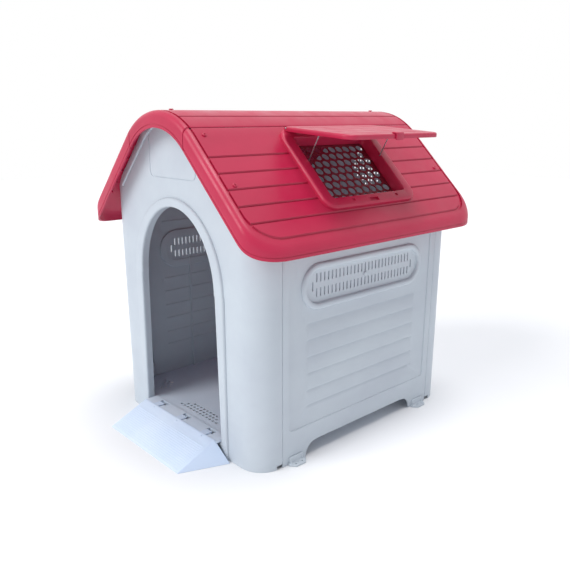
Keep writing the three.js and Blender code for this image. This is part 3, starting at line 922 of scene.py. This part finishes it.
@dataclass
class Skylight:
    """The frame moulded into the right panel, its grille, and the lid with latch and stays."""

    roof: Roof
    centre_y: float = 20
    half_outer: float = 180
    half_inner: float = 145
    top_s: float = -12
    bottom_s: float = 258
    inner_top: float = 22
    inner_bottom: float = 227
    proud: float = 12
    well: float = 22
    corner: float = 36
    inner_corner: float = 9
    hinge_s: float = -4
    hinge_n: float = 18
    lid_length: float = 246
    open_angle: float = math.radians(40)
    lugs: tuple[tuple[float, float], ...] = (
        (-138, -130.5),
        (-95.5, -88),
        (128, 135.5),
        (170.5, 178),
    )
    barrels: tuple[tuple[float, float], ...] = ((-130, -96), (136, 170))
    lid_top: float = 6.4
    lid_bottom: float = -5.6
    lid_skin: float = 3.5
    stay_pivot: tuple[float, float] = (108, -1)
    stay_length: float = 80
    stay_lean: float = math.radians(25)
    wires: tuple[tuple[float, float], ...] = ((-121, -112), (161, 152))

    def opening(self, grow: float) -> Outline:
        """The well's outline in the slope's axes.

        Args:
            grow: how far outside the well it runs, in millimetres.

        Returns:
            The outline.
        """
        y = self.centre_y
        return rounded(
            self.inner_top - grow,
            self.inner_bottom + grow,
            y - self.half_inner - grow,
            y + self.half_inner + grow,
            self.inner_corner + grow,
        )

    def hinge(self) -> Matrix:
        """The lid's axes at rest, about its hinge."""
        shift = Matrix.Translation((self.hinge_s * MM, 0, self.hinge_n * MM))
        return self.roof.slope() @ shift @ Matrix.Rotation(-self.open_angle, 4, "Y")

    def frame_into(self, panel: Work) -> Work:
        """Mould the frame, well and hinge lugs into the right panel.

        Args:
            panel: the right panel.

        Returns:
            The same panel.
        """
        slope = self.roof.slope()
        panel.place(slope.inverted())
        y = self.centre_y
        outline = rounded(
            self.top_s, self.bottom_s, y - self.half_outer, y + self.half_outer, self.corner, 10
        )
        crest = crest_on(2, self.proud, 60)
        plate = prism([outline], -4, self.proud, UPRIGHT).bevel(crest, 7.5, 5)
        panel.add(plate, prism([self.opening(3.5)], -self.well, -2, UPRIGHT))
        panel.cut(prism([self.opening(0)], -60, 60, UPRIGHT))
        panel.bevel(crest, 3, 3)
        s, n = self.hinge_s, self.hinge_n
        for low, high in self.lugs:
            post = block((s - 5, low, self.proud - 2), (s + 5, high, n))
            panel.add(post.add(rod(5, low, high, ridgewise(s, n))))
        panel.cut(rod(3, -150, 190, ridgewise(s, n)))
        panel.cut(block((239, y - 17, 6.5), (251, y + 17, 20)))
        for side in (-78, 96):
            panel.cut(block((236, y + side - 5, 9), (244, y + side + 5, 20)))
        return panel.place(slope)

    def grille(self) -> Work:
        """A thin sheet of staggered oval holes under the well.

        Returns:
            The sheet.
        """
        y = self.centre_y
        low = self.inner_top - 3
        high = self.inner_bottom + 3
        half = self.half_inner + 3
        holes = [rounded(low, high, y - half, y + half, 14)]
        for row in range(8):
            count = 9 if row % 2 else 10
            for i in range(count):
                cy = y + (i - (count - 1) / 2) * 28.6
                cs = low + 19.5 + row * 24.5
                holes.append(arc(cs, cy, 11, 12.7, 0, 345, 23))
        face = -self.well - 0.5
        sheet = prism(holes, face - 3, face, UPRIGHT)
        return sheet.bevel(crest_on(2, face), 0.7, 2).place(self.roof.slope())

    def lid(self) -> Work:
        """A shallow tray with a soft rim, plank lines on top, ribs below and hinge barrels.

        Returns:
            The lid.
        """
        y0 = self.centre_y - self.half_outer
        y1 = self.centre_y + self.half_outer
        top, bottom = self.lid_top, self.lid_bottom
        slab = prism([rounded(7, self.lid_length, y0, y1, 30, 10)], bottom, top, UPRIGHT)
        slab.bevel(crest_on(2, top), 5, 5)
        slab.bevel(crest_on(2, bottom), 1.6, 3)
        ceiling = top - self.lid_skin
        slab.cut(prism([rounded(12, 241, y0 + 5, y1 - 5, 26)], bottom - 2, ceiling, UPRIGHT))
        lines = [
            block((s - 1.2, y0 + 14, top - 1.1), (s + 1.2, y1 - 14, top + 3))
            for s in (56, 106, 156, 206)
        ]
        slab.cut(bundle(lines))
        for s in (62, 185):
            slab.add(block((s - 1, -104, -2.6), (s + 1, 144, ceiling + 0.4)))
        for low, high in self.barrels:
            slab.add(block((0, low, -4.6), (9, high, 4.6)), rod(5, low, high, ALONG_Y))
        ps, pn = self.stay_pivot
        for low, high in ((-117.5, -114.5), (154.5, 157.5)):
            slab.add(block((ps - 5, low, -4.5), (ps + 5, high, ceiling + 0.4)))
            slab.cut(rod(2, low - 1, high + 1, ridgewise(ps, pn)))
        slab.cut(rod(3, -150, 190, ALONG_Y))
        return slab.place(self.hinge())

    def latch(self) -> Work:
        """A flexing strap that hooks over the lid's free edge.

        Returns:
            The latch.
        """
        y = self.centre_y
        top = self.lid_top
        edge = self.lid_length
        low = top - 15
        strap = [
            (edge - 13, top + 0.4),
            (edge + 0.4, top + 0.4),
            (edge + 0.4, low),
            (edge + 3.4, low),
            (edge + 3.8, 7.9),
            (edge + 1.5, top + 3.8),
            (edge - 11, top + 3.8),
            (edge - 13, top + 2.4),
        ]
        body = prism([strap], -y - 14, -y + 14, FACING_FRONT)
        body.bevel(lambda e: sharp(e, 60) and abs(e.verts[0].co.y - e.verts[1].co.y) < TINY, 0.9, 3)
        return body.place(self.hinge())

    def stay(self, wire: float, bend: float) -> Work:
        """A wire stay: a long leg, and a short bend through its lug."""
        ps, pn = self.stay_pivot
        pivot = Matrix.Translation((ps * MM, 0, pn * MM)) @ Matrix.Rotation(self.stay_lean, 4, "Y")
        leg = rod(1.5, -self.stay_length, 0, Matrix.Translation((0, wire * MM, 0)), 16)
        leg.bevel(lambda e: sharp(e, 60) and e.verts[0].co.z < -50 * MM, 0.6, 2)
        low, high = sorted((wire, bend))
        leg.add(rod(1.5, low, high, ALONG_Y, 16))
        return leg.place(self.hinge() @ pivot)


SCREW_Y = 388
RIDGE_SCREW_Y = 382
SCREW_SLOPES = (-5, 152)


@dataclass
class RoofScrew:
    """A broad domed screw with a cross recess."""

    radius: float = 6
    height: float = 3.3

    def make(self) -> Work:
        """The screw about the surface it sits on, its head up."""
        head = rod(self.radius, 0.4, self.height, UPRIGHT, 28)
        head.bevel(lambda e: sharp(e, 60) and e.verts[0].co.z > 2 * MM, 2.2, 5)
        for size in ((3.2, 0.6), (0.6, 3.2)):
            head.cut(block((-size[0], -size[1], self.height - 1.2), (*size, self.height + 2)))
        return head.add(rod(2.1, -4.6, 1, UPRIGHT, 16))

    def all_places(self, roof: Roof) -> dict[str, Matrix]:
        """Where the ten screws go, by the node each stands for.

        Args:
            roof: the roof they hold.

        Returns:
            A placement for each node.
        """
        flip = Matrix.Scale(-1, 4, (1, 0, 0))
        places = {}
        for end, sign in (("front", -1), ("rear", 1)):
            for s, row in zip(SCREW_SLOPES, ("upper", "lower")):
                spot = roof.slope() @ Matrix.Translation((s * MM, sign * SCREW_Y * MM, 0))
                places[f"roof_screw_right_{end}_{row}"] = spot
                places[f"roof_screw_left_{end}_{row}"] = flip @ spot @ flip
            spot = Vector((0, sign * RIDGE_SCREW_Y, roof.ridge_centre + roof.ridge_radius)) * MM
            places[f"roof_screw_ridge_{end}"] = Matrix.Translation(spot)
        return places


def build_roof(roof: Roof) -> None:
    """Make the roof, its skylight and its screws.

    Args:
        roof: the roof's sizes.
    """
    skylight = Skylight(roof)
    cap, left, right = roof.pieces()
    publish(cap, "roof_ridge_cap", "house", Shop.ROOF, "ridge_cap")
    publish(left, "roof_left_panel", "house", Shop.ROOF, "roof_panel_left")
    framed = skylight.frame_into(right)
    publish(framed, "roof_right_panel", "house", Shop.ROOF, "roof_panel_right")
    # The grille's darker finish is painted shade of the well, not a darker plastic.
    publish(skylight.grille(), "skylight_grille_sheet", "house", Shop.GRILLE, "skylight_grille")
    publish(skylight.lid(), "skylight_lid_tray", "lid", Shop.ROOF, "skylight_lid")
    publish(skylight.latch(), "skylight_latch_strap", "latch", Shop.ROOF, "lid_latch")
    axis = ridgewise(skylight.hinge_s, skylight.hinge_n, roof.slope())
    pin = rod(2.5, -141, 181, axis).bevel(lambda e: sharp(e, 60), 0.7, 2)
    publish(pin, "skylight_hinge_pin", "house", Shop.ZINC, "lid_hinge_rod")
    for (wire, bend), end in zip(skylight.wires, ("front", "rear")):
        stay = skylight.stay(wire, bend)
        publish(stay, f"skylight_stay_{end}", f"stay_{end}", Shop.ZINC, f"lid_stay_{end}")
    screw = RoofScrew()
    master = screw.make()
    for node, matrix in screw.all_places(roof).items():
        publish(master.copy().place(matrix), f"{node}_head", "house", Shop.ROOF, node)
    bpy.data.objects.remove(master.obj)


# ---- walls -----------------------------------------------------------------------------------


GROOVE_HEIGHTS = (145, 188, 235, 280, 327, 371)
BOLT_HEIGHTS = (150, 480)
BOLT_X = 322.5
BOLT_HOLE = 2.9
FLANGE = (317, 333, 60, 560)
WEB = 4


def undercut(half_top: float, half_bottom: float, height: float) -> Outline:
    """The low opening under a wall, with curved legs."""
    right = bezier((half_bottom, 0), (half_top + 4, height * 0.3), (half_top, height), 8)
    left = [(-x, z) for x, z in reversed(right)]
    return [(half_bottom, -5), *right, *left, (-half_bottom, -5)]


@dataclass
class SideWall:
    """A side wall, drawn on the right: a sunk field of tapered grooves and a slotted vent."""

    outer_x: float = 334
    thickness: float = 5
    seam: float = 307.7
    top_z: float = 645
    field_depth: float = 4
    field_back: float = 323.5
    vent_z: float = 467
    vent_half: float = 243
    vent_radius: float = 61
    vent_rim: float = 17
    vent_proud: float = 3.2
    columns: int = 27
    pitch: float = 14.3
    slot_width: float = 4.6
    top_rails: tuple[float, ...] = (556, 598)

    def edge(self) -> Outline:
        """The wall's outline, seen from outside."""
        near = bezier((-225, 0), (-222, 40), (-178, 40), 8)
        far = [(-y, z) for y, z in reversed(near)]
        seam, top = self.seam, self.top_z
        return [(-seam, 0), *near, *far, (seam, 0), (seam, top), (-seam, top)]

    def sheet(self) -> Work:
        """The wall's sheet with its sunk field.

        Returns:
            The wall so far.
        """
        x = self.outer_x
        wall = prism([self.edge()], x - self.thickness, x, FACING_RIGHT)
        wall.bevel(crest_on(0, x), 1.3, 2)
        wall.add(prism([rounded(-290, 290, 86, 639, 14)], self.field_back, x - 2, FACING_RIGHT))
        floor = x - self.field_depth
        wall.cut(prism([rounded(-284, 284, 92, 633, 12)], floor, x + 6, FACING_RIGHT))

        def shoulder(edge: bmesh.types.BMEdge) -> bool:
            """The edge where the field starts to sink."""
            inside = all(abs(v.co.y) < 285 * MM and v.co.z > 90 * MM for v in edge.verts)
            return inside and crest_on(0, x)(edge)

        wall.bevel(shoulder, 3.4, 4)
        return wall.bevel(crest_on(0, floor, 20), 1.2, 2)

    def vent(self, wall: Work) -> Work:
        """The round-ended vent: a rolled rim about a sunk slotted floor, with a plain boss.

        Args:
            wall: the sheet it goes into.

        Returns:
            The same wall.
        """
        x = self.outer_x
        crest = x + self.vent_proud
        low = x - 6.5
        half, radius, rim = self.vent_half, self.vent_radius, self.vent_rim
        wide = stadium(0, self.vent_z, half, radius)
        pad = prism([wide], low - 9, crest, FACING_RIGHT)
        pad.bevel(crest_on(0, crest), 7, 5)
        pad.bevel(crest_on(0, low - 9), 3, 3)
        wall.add(pad)
        inner = stadium(0, self.vent_z, half - rim, radius - rim)
        wall.cut(prism([inner], low, x + 9, FACING_RIGHT))
        wall.bevel(crest_on(0, crest), 7, 5)
        wall.bevel(crest_on(0, low, 60), 2, 3)
        hollow = stadium(0, self.vent_z, half - rim - 6, radius - rim - 6)
        wall.cut(prism([hollow], low - 20, low - 6, FACING_RIGHT))
        slots = []
        middle = (self.columns - 1) / 2
        for i in range(self.columns):
            y = (i - middle) * self.pitch
            slots += [(y, -29, -6), (y, 9, 33)]
        slots += [(side * (middle + 1) * self.pitch, -12, 12) for side in (-1, 1)]
        wall.cut(bundle([self.slot(*slot) for slot in slots]))
        middle_z = (self.vent_z + 1.5) * MM
        boss = rod(7.2, low - 1, low + 3.5, FACING_RIGHT @ Matrix.Translation((0, middle_z, 0)), 32)
        boss.bevel(crest_on(0, low + 3.5), 1.8, 4)
        return wall.add(boss)

    def slot(self, y: float, low: float, high: float) -> Work:
        """The cutter of one round-ended slot."""
        r = self.slot_width / 2
        z = self.vent_z
        outline = [
            *arc(y, z + high - r, r, r, 0, 180, 5),
            *arc(y, z + low + r, r, r, 180, 360, 5),
        ]
        return prism([outline], self.outer_x - 40, self.outer_x + 10, FACING_RIGHT)

    def groove(self, z: float) -> Work:
        """The cutter of one groove: a dark step above, a slope below, and tapered ends."""
        x = self.outer_x - self.field_depth
        section = [(x + 1.2, z + 3.2), (x - 4, z + 1.6), (x - 4, z + 0.6), (x + 1.2, z - 10)]
        bar = prism([section], -226, 226, FACING_FRONT)
        for side in (-1, 1):
            bar.bisect((0, side * 212, 0), (0, 1, 0))
        return bar.shift(lambda v: abs(v.co.y) > 225 * MM and v.co.x < x * MM, (4.4, 0, -1.5))

    def ridge(self, z: float) -> Work:
        """What a groove raises on the wall's inner face."""
        x = self.field_back
        section = [(x + 1, z + 6), (x - 5, z + 2), (x - 5, z - 3), (x + 1, z - 13)]
        bar = prism([section], -232, 232, FACING_FRONT)
        return bar.shift(lambda v: abs(v.co.y) > 231 * MM and v.co.x < x * MM, (3.5, 0, 0))

    def fixings(self, wall: Work) -> Work:
        """The bolt flanges at the seams and the ledges that carry the floor.

        Args:
            wall: the wall they go on.

        Returns:
            The same wall.
        """
        x0, x1, z0, z1 = FLANGE
        holes = []
        for side in (-1, 1):
            ys = sorted((side * (self.seam - WEB), side * self.seam))
            wall.add(block((x0, ys[0], z0), (x1, ys[1], z1)))
            wall.add(block((315, side * 268 - 32, 31), (329.5, side * 268 + 32, 39.7)))
            for z in BOLT_HEIGHTS:
                holes.append(rod(BOLT_HOLE, ys[0] - 6, ys[1] + 6, ridgewise(BOLT_X, z), 14))
        return wall.cut(bundle(holes))

    def make(self) -> Work:
        """The whole right wall."""
        wall = self.sheet()
        wall.add(bundle([self.ridge(z) for z in (*GROOVE_HEIGHTS, *self.top_rails)]))
        wall.cut(bundle([self.groove(z) for z in GROOVE_HEIGHTS]))
        return self.fixings(self.vent(wall))

    def make_left(self, right: Work) -> Work:
        """The left wall: the right one's mirror image, with an upright rib inside."""
        wall = right.copy().mirrored((-1, 1, 1))
        return wall.add(block((-325.5, -135, 47), (-317, -130, 430)))


@dataclass
class EndWall:
    """A gabled end wall that wraps round both corners, drawn facing the front."""

    roof: Roof
    half_x: float = 334
    half_y: float = 389
    corner: float = 70
    thickness: float = 5
    seam: float = 308.4
    band: float = 27

    def shell(self) -> Work:
        """The panel, its corner posts and the raised band under the roof.

        Returns:
            The wall without its openings.
        """
        x, y, t = self.half_x, self.half_y, self.thickness
        plan = [
            rounded(-x, x, -y, y, self.corner, 16),
            rounded(t - x, x - t, t - y, y - t, self.corner - t, 16),
        ]
        wall = prism(plan, 0, 890, UPRIGHT)
        wall.keep(block((-400, -450, -1), (400, -self.seam, 900)))
        wall.keep(prism([self.roof.section(5.6, 420, -5)], -10, 460, FACING_FRONT))
        wall.bevel(self.outer_seam, 1.3, 2)
        strip = prism([self.roof.section(6.2, 262, 520)], y - 1, y + 4, FACING_FRONT)
        strip.cut(prism([self.roof.section(self.band, 400, 300)], y - 20, y + 20, FACING_FRONT))
        strip.bevel(crest_on(1, -y - 4, 60), 2.6, 3)
        wall.add(strip)
        x0, x1, z0, z1 = FLANGE
        for side in (-1, 1):
            xs = sorted((side * x0, side * x1))
            wall.add(block((xs[0], -self.seam - WEB, z0), (xs[1], -self.seam, z1)))
            xs = sorted((side * 324, side * 338))
            wall.cut(block((xs[0], -328, -5), (xs[1], -300, 11)))
            for z in BOLT_HEIGHTS:
                spot = ridgewise(side * BOLT_X, z)
                wall.cut(rod(BOLT_HOLE, -self.seam - 20, -self.seam + 10, spot, 16))
        return wall

    def outer_seam(self, edge: bmesh.types.BMEdge) -> bool:
        """Whether an edge is an upright outer one at a seam."""
        outer = all(abs(abs(v.co.x / MM) - self.half_x) < 0.3 for v in edge.verts)
        return outer and crest_on(1, -self.seam, 60)(edge)

    def arch(self, bottom: float, grow: float) -> Outline:
        """The doorway's outline: upright sides, a notch at the spring and an arch."""
        low = 185 + grow
        # The moulding's outer edge narrows less than the doorway itself.
        high = (182 if grow > 10 else 172) + grow
        over = arc(0, 450, high, 201 + grow, 0, 180, 48)
        return [(-low, bottom), (low, bottom), (high + 2.5, 446), *over, (-high - 2.5, 446)]

    def front(self) -> Work:
        """The front wall with its doorway moulding and the blank plate above it.

        Returns:
            The front wall.
        """
        face = self.half_y
        wall = self.shell()
        sleeve = prism([self.arch(46.5, 4)], face - 16, face - 0.5, FACING_FRONT)
        wall.add(sleeve)
        wall.cut(prism([self.arch(43.2, 0.5)], 290, 460, FACING_FRONT))
        trim = prism([self.arch(-12, 25)], face - 2, face + 7, FACING_FRONT)
        trim.bevel(crest_on(1, -face - 7, 60), 5.5, 5)
        trim.cut(prism([self.arch(43.7, 0)], 290, 460, FACING_FRONT))
        trim.bevel(crest_on(1, -face - 7, 60), 5.5, 5)
        trim.cut(block((-300, -450, -40), (300, -300, 0)))
        wall.add(trim)
        wall.cut(prism([undercut(150, 182, 28)], 300, 450, FACING_FRONT))
        return wall.cut(self.plate_line())

    def plate_line(self) -> Work:
        """The cutter of the shallow line about the blank plate in the gable."""
        wide = rounded(-106, 106, 724, 880, 16)
        narrow = rounded(-103.8, 103.8, 726.2, 878, 13.8)
        line = prism([wide, narrow], self.half_y - 1.2, self.half_y + 2, FACING_FRONT)
        return line.keep(prism([self.roof.section(29, 400, 300)], 300, 450, FACING_FRONT))

    def rear(self) -> Work:
        """The rear wall with a round grid of vent holes under the ridge.

        Returns:
            The rear wall.
        """
        wall = self.shell()
        wall.cut(prism([undercut(200, 240, 40)], 300, 450, FACING_FRONT))
        face = self.half_y
        wall.cut(prism([arc(0, 722, 69, 69, 0, 352, 44)], face - 30, face + 30, FACING_FRONT))
        holes = [arc(0, 722, 70.5, 70.5, 0, 352, 44)]
        pitch = 12.5
        reach = 5
        for i in range(-reach, reach + 1):
            for j in range(-reach, reach + 1):
                if math.hypot(i, j) * pitch < 64:
                    start = 3 + (i * 17 + j * 29) % 40
                    holes.append(arc(i * pitch, 722 + j * pitch, 3.2, 3.2, start, start + 315, 7))
        wall.add(prism(holes, face - 3.4, face - 1.6, FACING_FRONT))
        return wall.place(Matrix.Rotation(math.pi, 4, "Z"))


# ---- floor, ramp and feet --------------------------------------------------------------------


HOOK_XS = (-120, 0, 120)


@dataclass
class FloorPan:
    """The floor with its sill, three hook slots, and drain holes in front and in each corner."""

    half_x: float = 328.4
    half_y: float = 383.4
    corner: float = 64.5
    bottom: float = 40
    top: float = 46
    sill_half: float = 181
    sill_front: float = 408
    sill_top: float = 50
    drain: float = 4.1
    drain_sheet: float = 1.2

    def drains(self, rows: Sequence[int], place: Callable[[float, float], Point]) -> list[Outline]:
        """One patch of drain holes in rows that shorten."""
        holes = []
        for row, count in enumerate(rows):
            for i in range(count):
                x, y = place((i - (count - 1) / 2) * 15.8, row * 13)
                start = 5 + (i * 11 + row * 7) % 30
                holes.append(arc(x, y, self.drain, self.drain, start, start + 324, 9))
        return holes

    def corner_spot(self, side: int, end: int) -> Callable[[float, float], Point]:
        """How a corner patch lies: its rows run across the corner and step inward."""
        turn = math.sqrt(0.5)
        return lambda a, b: (side * (250 - (a + b) * turn), end * (302 + (a - b) * turn))

    def make(self) -> Work:
        """The whole pan.

        Returns:
            The pan.
        """
        x, y = self.half_x, self.half_y
        patches = [((12, 10, 8), 97, lambda a, b: (a, -338 + b))]
        for side in (-1, 1):
            for end in (-1, 1):
                patches.append(((5, 4, 3), 42, self.corner_spot(side, end)))
        outlines = [rounded(-x, x, -y, y, self.corner, 16)]
        thin = []
        for rows, half, spot in patches:
            outlines += self.drains(rows, spot)
            patch = [spot(-half, -9), spot(half, -9), spot(half, 35), spot(-half, 35)]
            thin.append(prism([patch], 30, self.top - self.drain_sheet, UPRIGHT))
        pan = prism(outlines, self.bottom, self.top, UPRIGHT)
        low = (-self.sill_half, -self.sill_front, self.sill_top - 5.5)
        sill = block(low, (self.sill_half, -self.half_y + 18, self.sill_top))
        sill.bevel(crest_on(2, self.sill_top, 60), 2.2, 4)
        pan.add(sill)
        slots = [block((hx - 17, -391.5, 20), (hx + 17, -372, 70)) for hx in HOOK_XS]
        return pan.cut(bundle([*slots, *thin]))


@dataclass
class Ramp:
    """The hooked-on ramp: fine cross ribs up its slope, and cheeks that flare at the back."""

    half_width: float = 174.5
    front: tuple[float, float] = (-528, 2)
    crest: tuple[float, float] = (-411.4, 53)
    rib_pitch: float = 6.4
    rib_width: float = 3
    rib_height: float = 0.55
    plain_front: float = 5
    plain_top: float = 22

    def make(self) -> Work:
        """The ramp on its CAD body, with ribs and pin holes.

        Returns:
            The ramp.
        """
        body = cad_copy("entrance_ramp")
        body.bevel(self.slope_edge, 1.6, 3)
        rise = Vector((0, self.crest[0] - self.front[0], self.crest[1] - self.front[1]))
        up = rise.normalized()
        out = Vector((1, 0, 0)).cross(up)
        slope = placement((1, 0, 0), up, out, (0, *self.front))
        half = self.half_width - 7
        start = self.plain_front
        rib = block((-half, start, -0.8), (half, start + self.rib_width, self.rib_height))
        rib.bevel(crest_on(2, self.rib_height, 60), 0.45, 2)
        count = int((rise.length - start - self.plain_top) / self.rib_pitch)
        rib.array(count, (0, self.rib_pitch, 0)).place(slope)
        body.add(rib)
        for x in HOOK_XS:
            body.cut(rod(1.7, 40, 60, Matrix.Translation(Vector((x + 6, -417, 0)) * MM), 12))
        return body

    def slope_edge(self, edge: bmesh.types.BMEdge) -> bool:
        """The long edges where the slope meets the cheeks and the front."""
        ends = [v.co / MM for v in edge.verts]
        at_side = all(abs(abs(p.x) - self.half_width) < 0.05 for p in ends)
        low, high = sorted(p.z for p in ends)
        return at_side and low < 3 and high > 52


def build_walls(roof: Roof) -> None:
    """Make the four walls.

    Args:
        roof: the roof's sizes, which the gables follow.
    """
    side = SideWall()
    right = side.make()
    left = side.make_left(right)
    end = EndWall(roof)
    publish(end.front(), "wall_front", "house", Shop.WALL, "front_wall")
    publish(end.rear(), "wall_rear", "house", Shop.WALL, "rear_wall")
    publish(right, "wall_right", "house", Shop.WALL, "side_wall_right")
    publish(left, "wall_left", "house", Shop.WALL, "side_wall_left")


def build_base() -> None:
    """Make the floor and the ramp, and finish the feet and bolts."""
    publish(FloorPan().make(), "floor_pan_moulding", "house", Shop.FLOOR, "floor_pan")
    publish(Ramp().make(), "ramp_moulding", "ramp", Shop.RAMP, "entrance_ramp")
    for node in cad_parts:
        if node.startswith("anchor_foot"):
            foot = cad_copy(node)
            foot.bevel(lambda e: sharp(e, 40), 0.4, 2)
            publish(foot, f"{node}_moulding", "house", Shop.WALL, node)
        elif node.startswith("wall_bolt"):
            dress(node, Shop.ZINC)


# ---- studio ----------------------------------------------------------------------------------


PAPER_CLOUD = 1000 / 3


@dataclass
class Studio:
    """A pale floor, a white surround, soft lights and the camera."""

    camera_place: tuple[float, float, float] = (1423.3, -1292.6, 877.7)
    camera_pitch: float = 0.288
    camera_yaw: float = 0.832
    lens: float = 40.15
    shift_y: float = 0.0348

    def floor(self) -> None:
        """A wide pale floor under the kennel."""
        deselect_all()
        bpy.ops.mesh.primitive_plane_add(size=16, location=(0, 0, -0.0005))
        floor = bpy.context.object
        floor.name = "studio_floor"
        bpy.ops.object.transform_apply(location=True, rotation=True, scale=True)
        material = bpy.data.materials.new("paper_matt_white")
        material.use_nodes = True
        tree = material.node_tree
        tree.nodes.clear()
        place = add_node(tree, "ShaderNodeTexCoord").outputs["Object"]
        tone = two_tone(tree, noise(tree, place, PAPER_CLOUD), "F4F5F6", "F8F8F9")
        surface(tree, {"Roughness": 0.9}, {"Base Color": tone})
        floor.data.materials.append(material)

    def lamp(self, name: str, place: Point, strength: float, spread: float) -> None:
        """A broad distant soft light.

        Args:
            name: the light's name.
            place: where it comes from.
            strength: watts on each square metre that faces it.
            spread: how broad it is, in degrees.
        """
        light = bpy.data.lights.new(name, "SUN")
        light.angle = math.radians(spread)
        light.energy = strength
        obj = bpy.data.objects.new(name, light)
        bpy.context.scene.collection.objects.link(obj)
        obj.location = place
        obj.rotation_euler = (-Vector(place)).to_track_quat("-Z", "Y").to_euler()

    def surround(self) -> None:
        """An even surround: white where it is seen or mirrored, dimmer as a fill light."""
        world = bpy.data.worlds.new("white_surround")
        bpy.context.scene.world = world
        world.use_nodes = True
        tree = world.node_tree
        tree.nodes.clear()
        seen = add_node(tree, "ShaderNodeBackground", {"Color": linear("FFFFFF"), "Strength": 1.0})
        fill = add_node(tree, "ShaderNodeBackground", {"Color": linear("F1F5FF"), "Strength": 0.45})
        rays = add_node(tree, "ShaderNodeLightPath").outputs
        direct = add_node(tree, "ShaderNodeMath", {"operation": "MAXIMUM"})
        tree.links.new(rays["Is Camera Ray"], direct.inputs[0])
        tree.links.new(rays["Is Glossy Ray"], direct.inputs[1])
        mixed = add_node(tree, "ShaderNodeMixShader", None, {"Fac": direct.outputs[0]})
        tree.links.new(fill.outputs[0], mixed.inputs[1])
        tree.links.new(seen.outputs[0], mixed.inputs[2])
        add_node(tree, "ShaderNodeOutputWorld", None, {"Surface": mixed.outputs[0]})

    def camera(self) -> None:
        """The camera, level but for its pitch."""
        data = bpy.data.cameras.new("viewer")
        data.lens = self.lens
        data.shift_y = self.shift_y
        camera = bpy.data.objects.new("viewer", data)
        bpy.context.scene.collection.objects.link(camera)
        camera.location = HOUSE + Vector(self.camera_place) * MM
        camera.rotation_euler = (math.pi / 2 - self.camera_pitch, 0, self.camera_yaw)
        bpy.context.scene.camera = camera

    def build(self) -> None:
        """Set the whole studio up."""
        scene = bpy.context.scene
        scene.view_settings.view_transform = "Standard"
        self.camera()
        self.floor()
        self.surround()
        self.lamp("key_front", (-0.7, -3.2, 2.2), 1.55, 35)
        self.lamp("overhead", (0.3, 0.3, 3.4), 1.7, 30)


def main() -> None:
    """Build the studio and every piece of the kennel, in order."""
    logging.basicConfig(level=logging.INFO, format="%(message)s")
    Studio().build()
    roof = Roof()
    build_roof(roof)
    build_walls(roof)
    build_base()


if __name__ == "__main__":
    main()
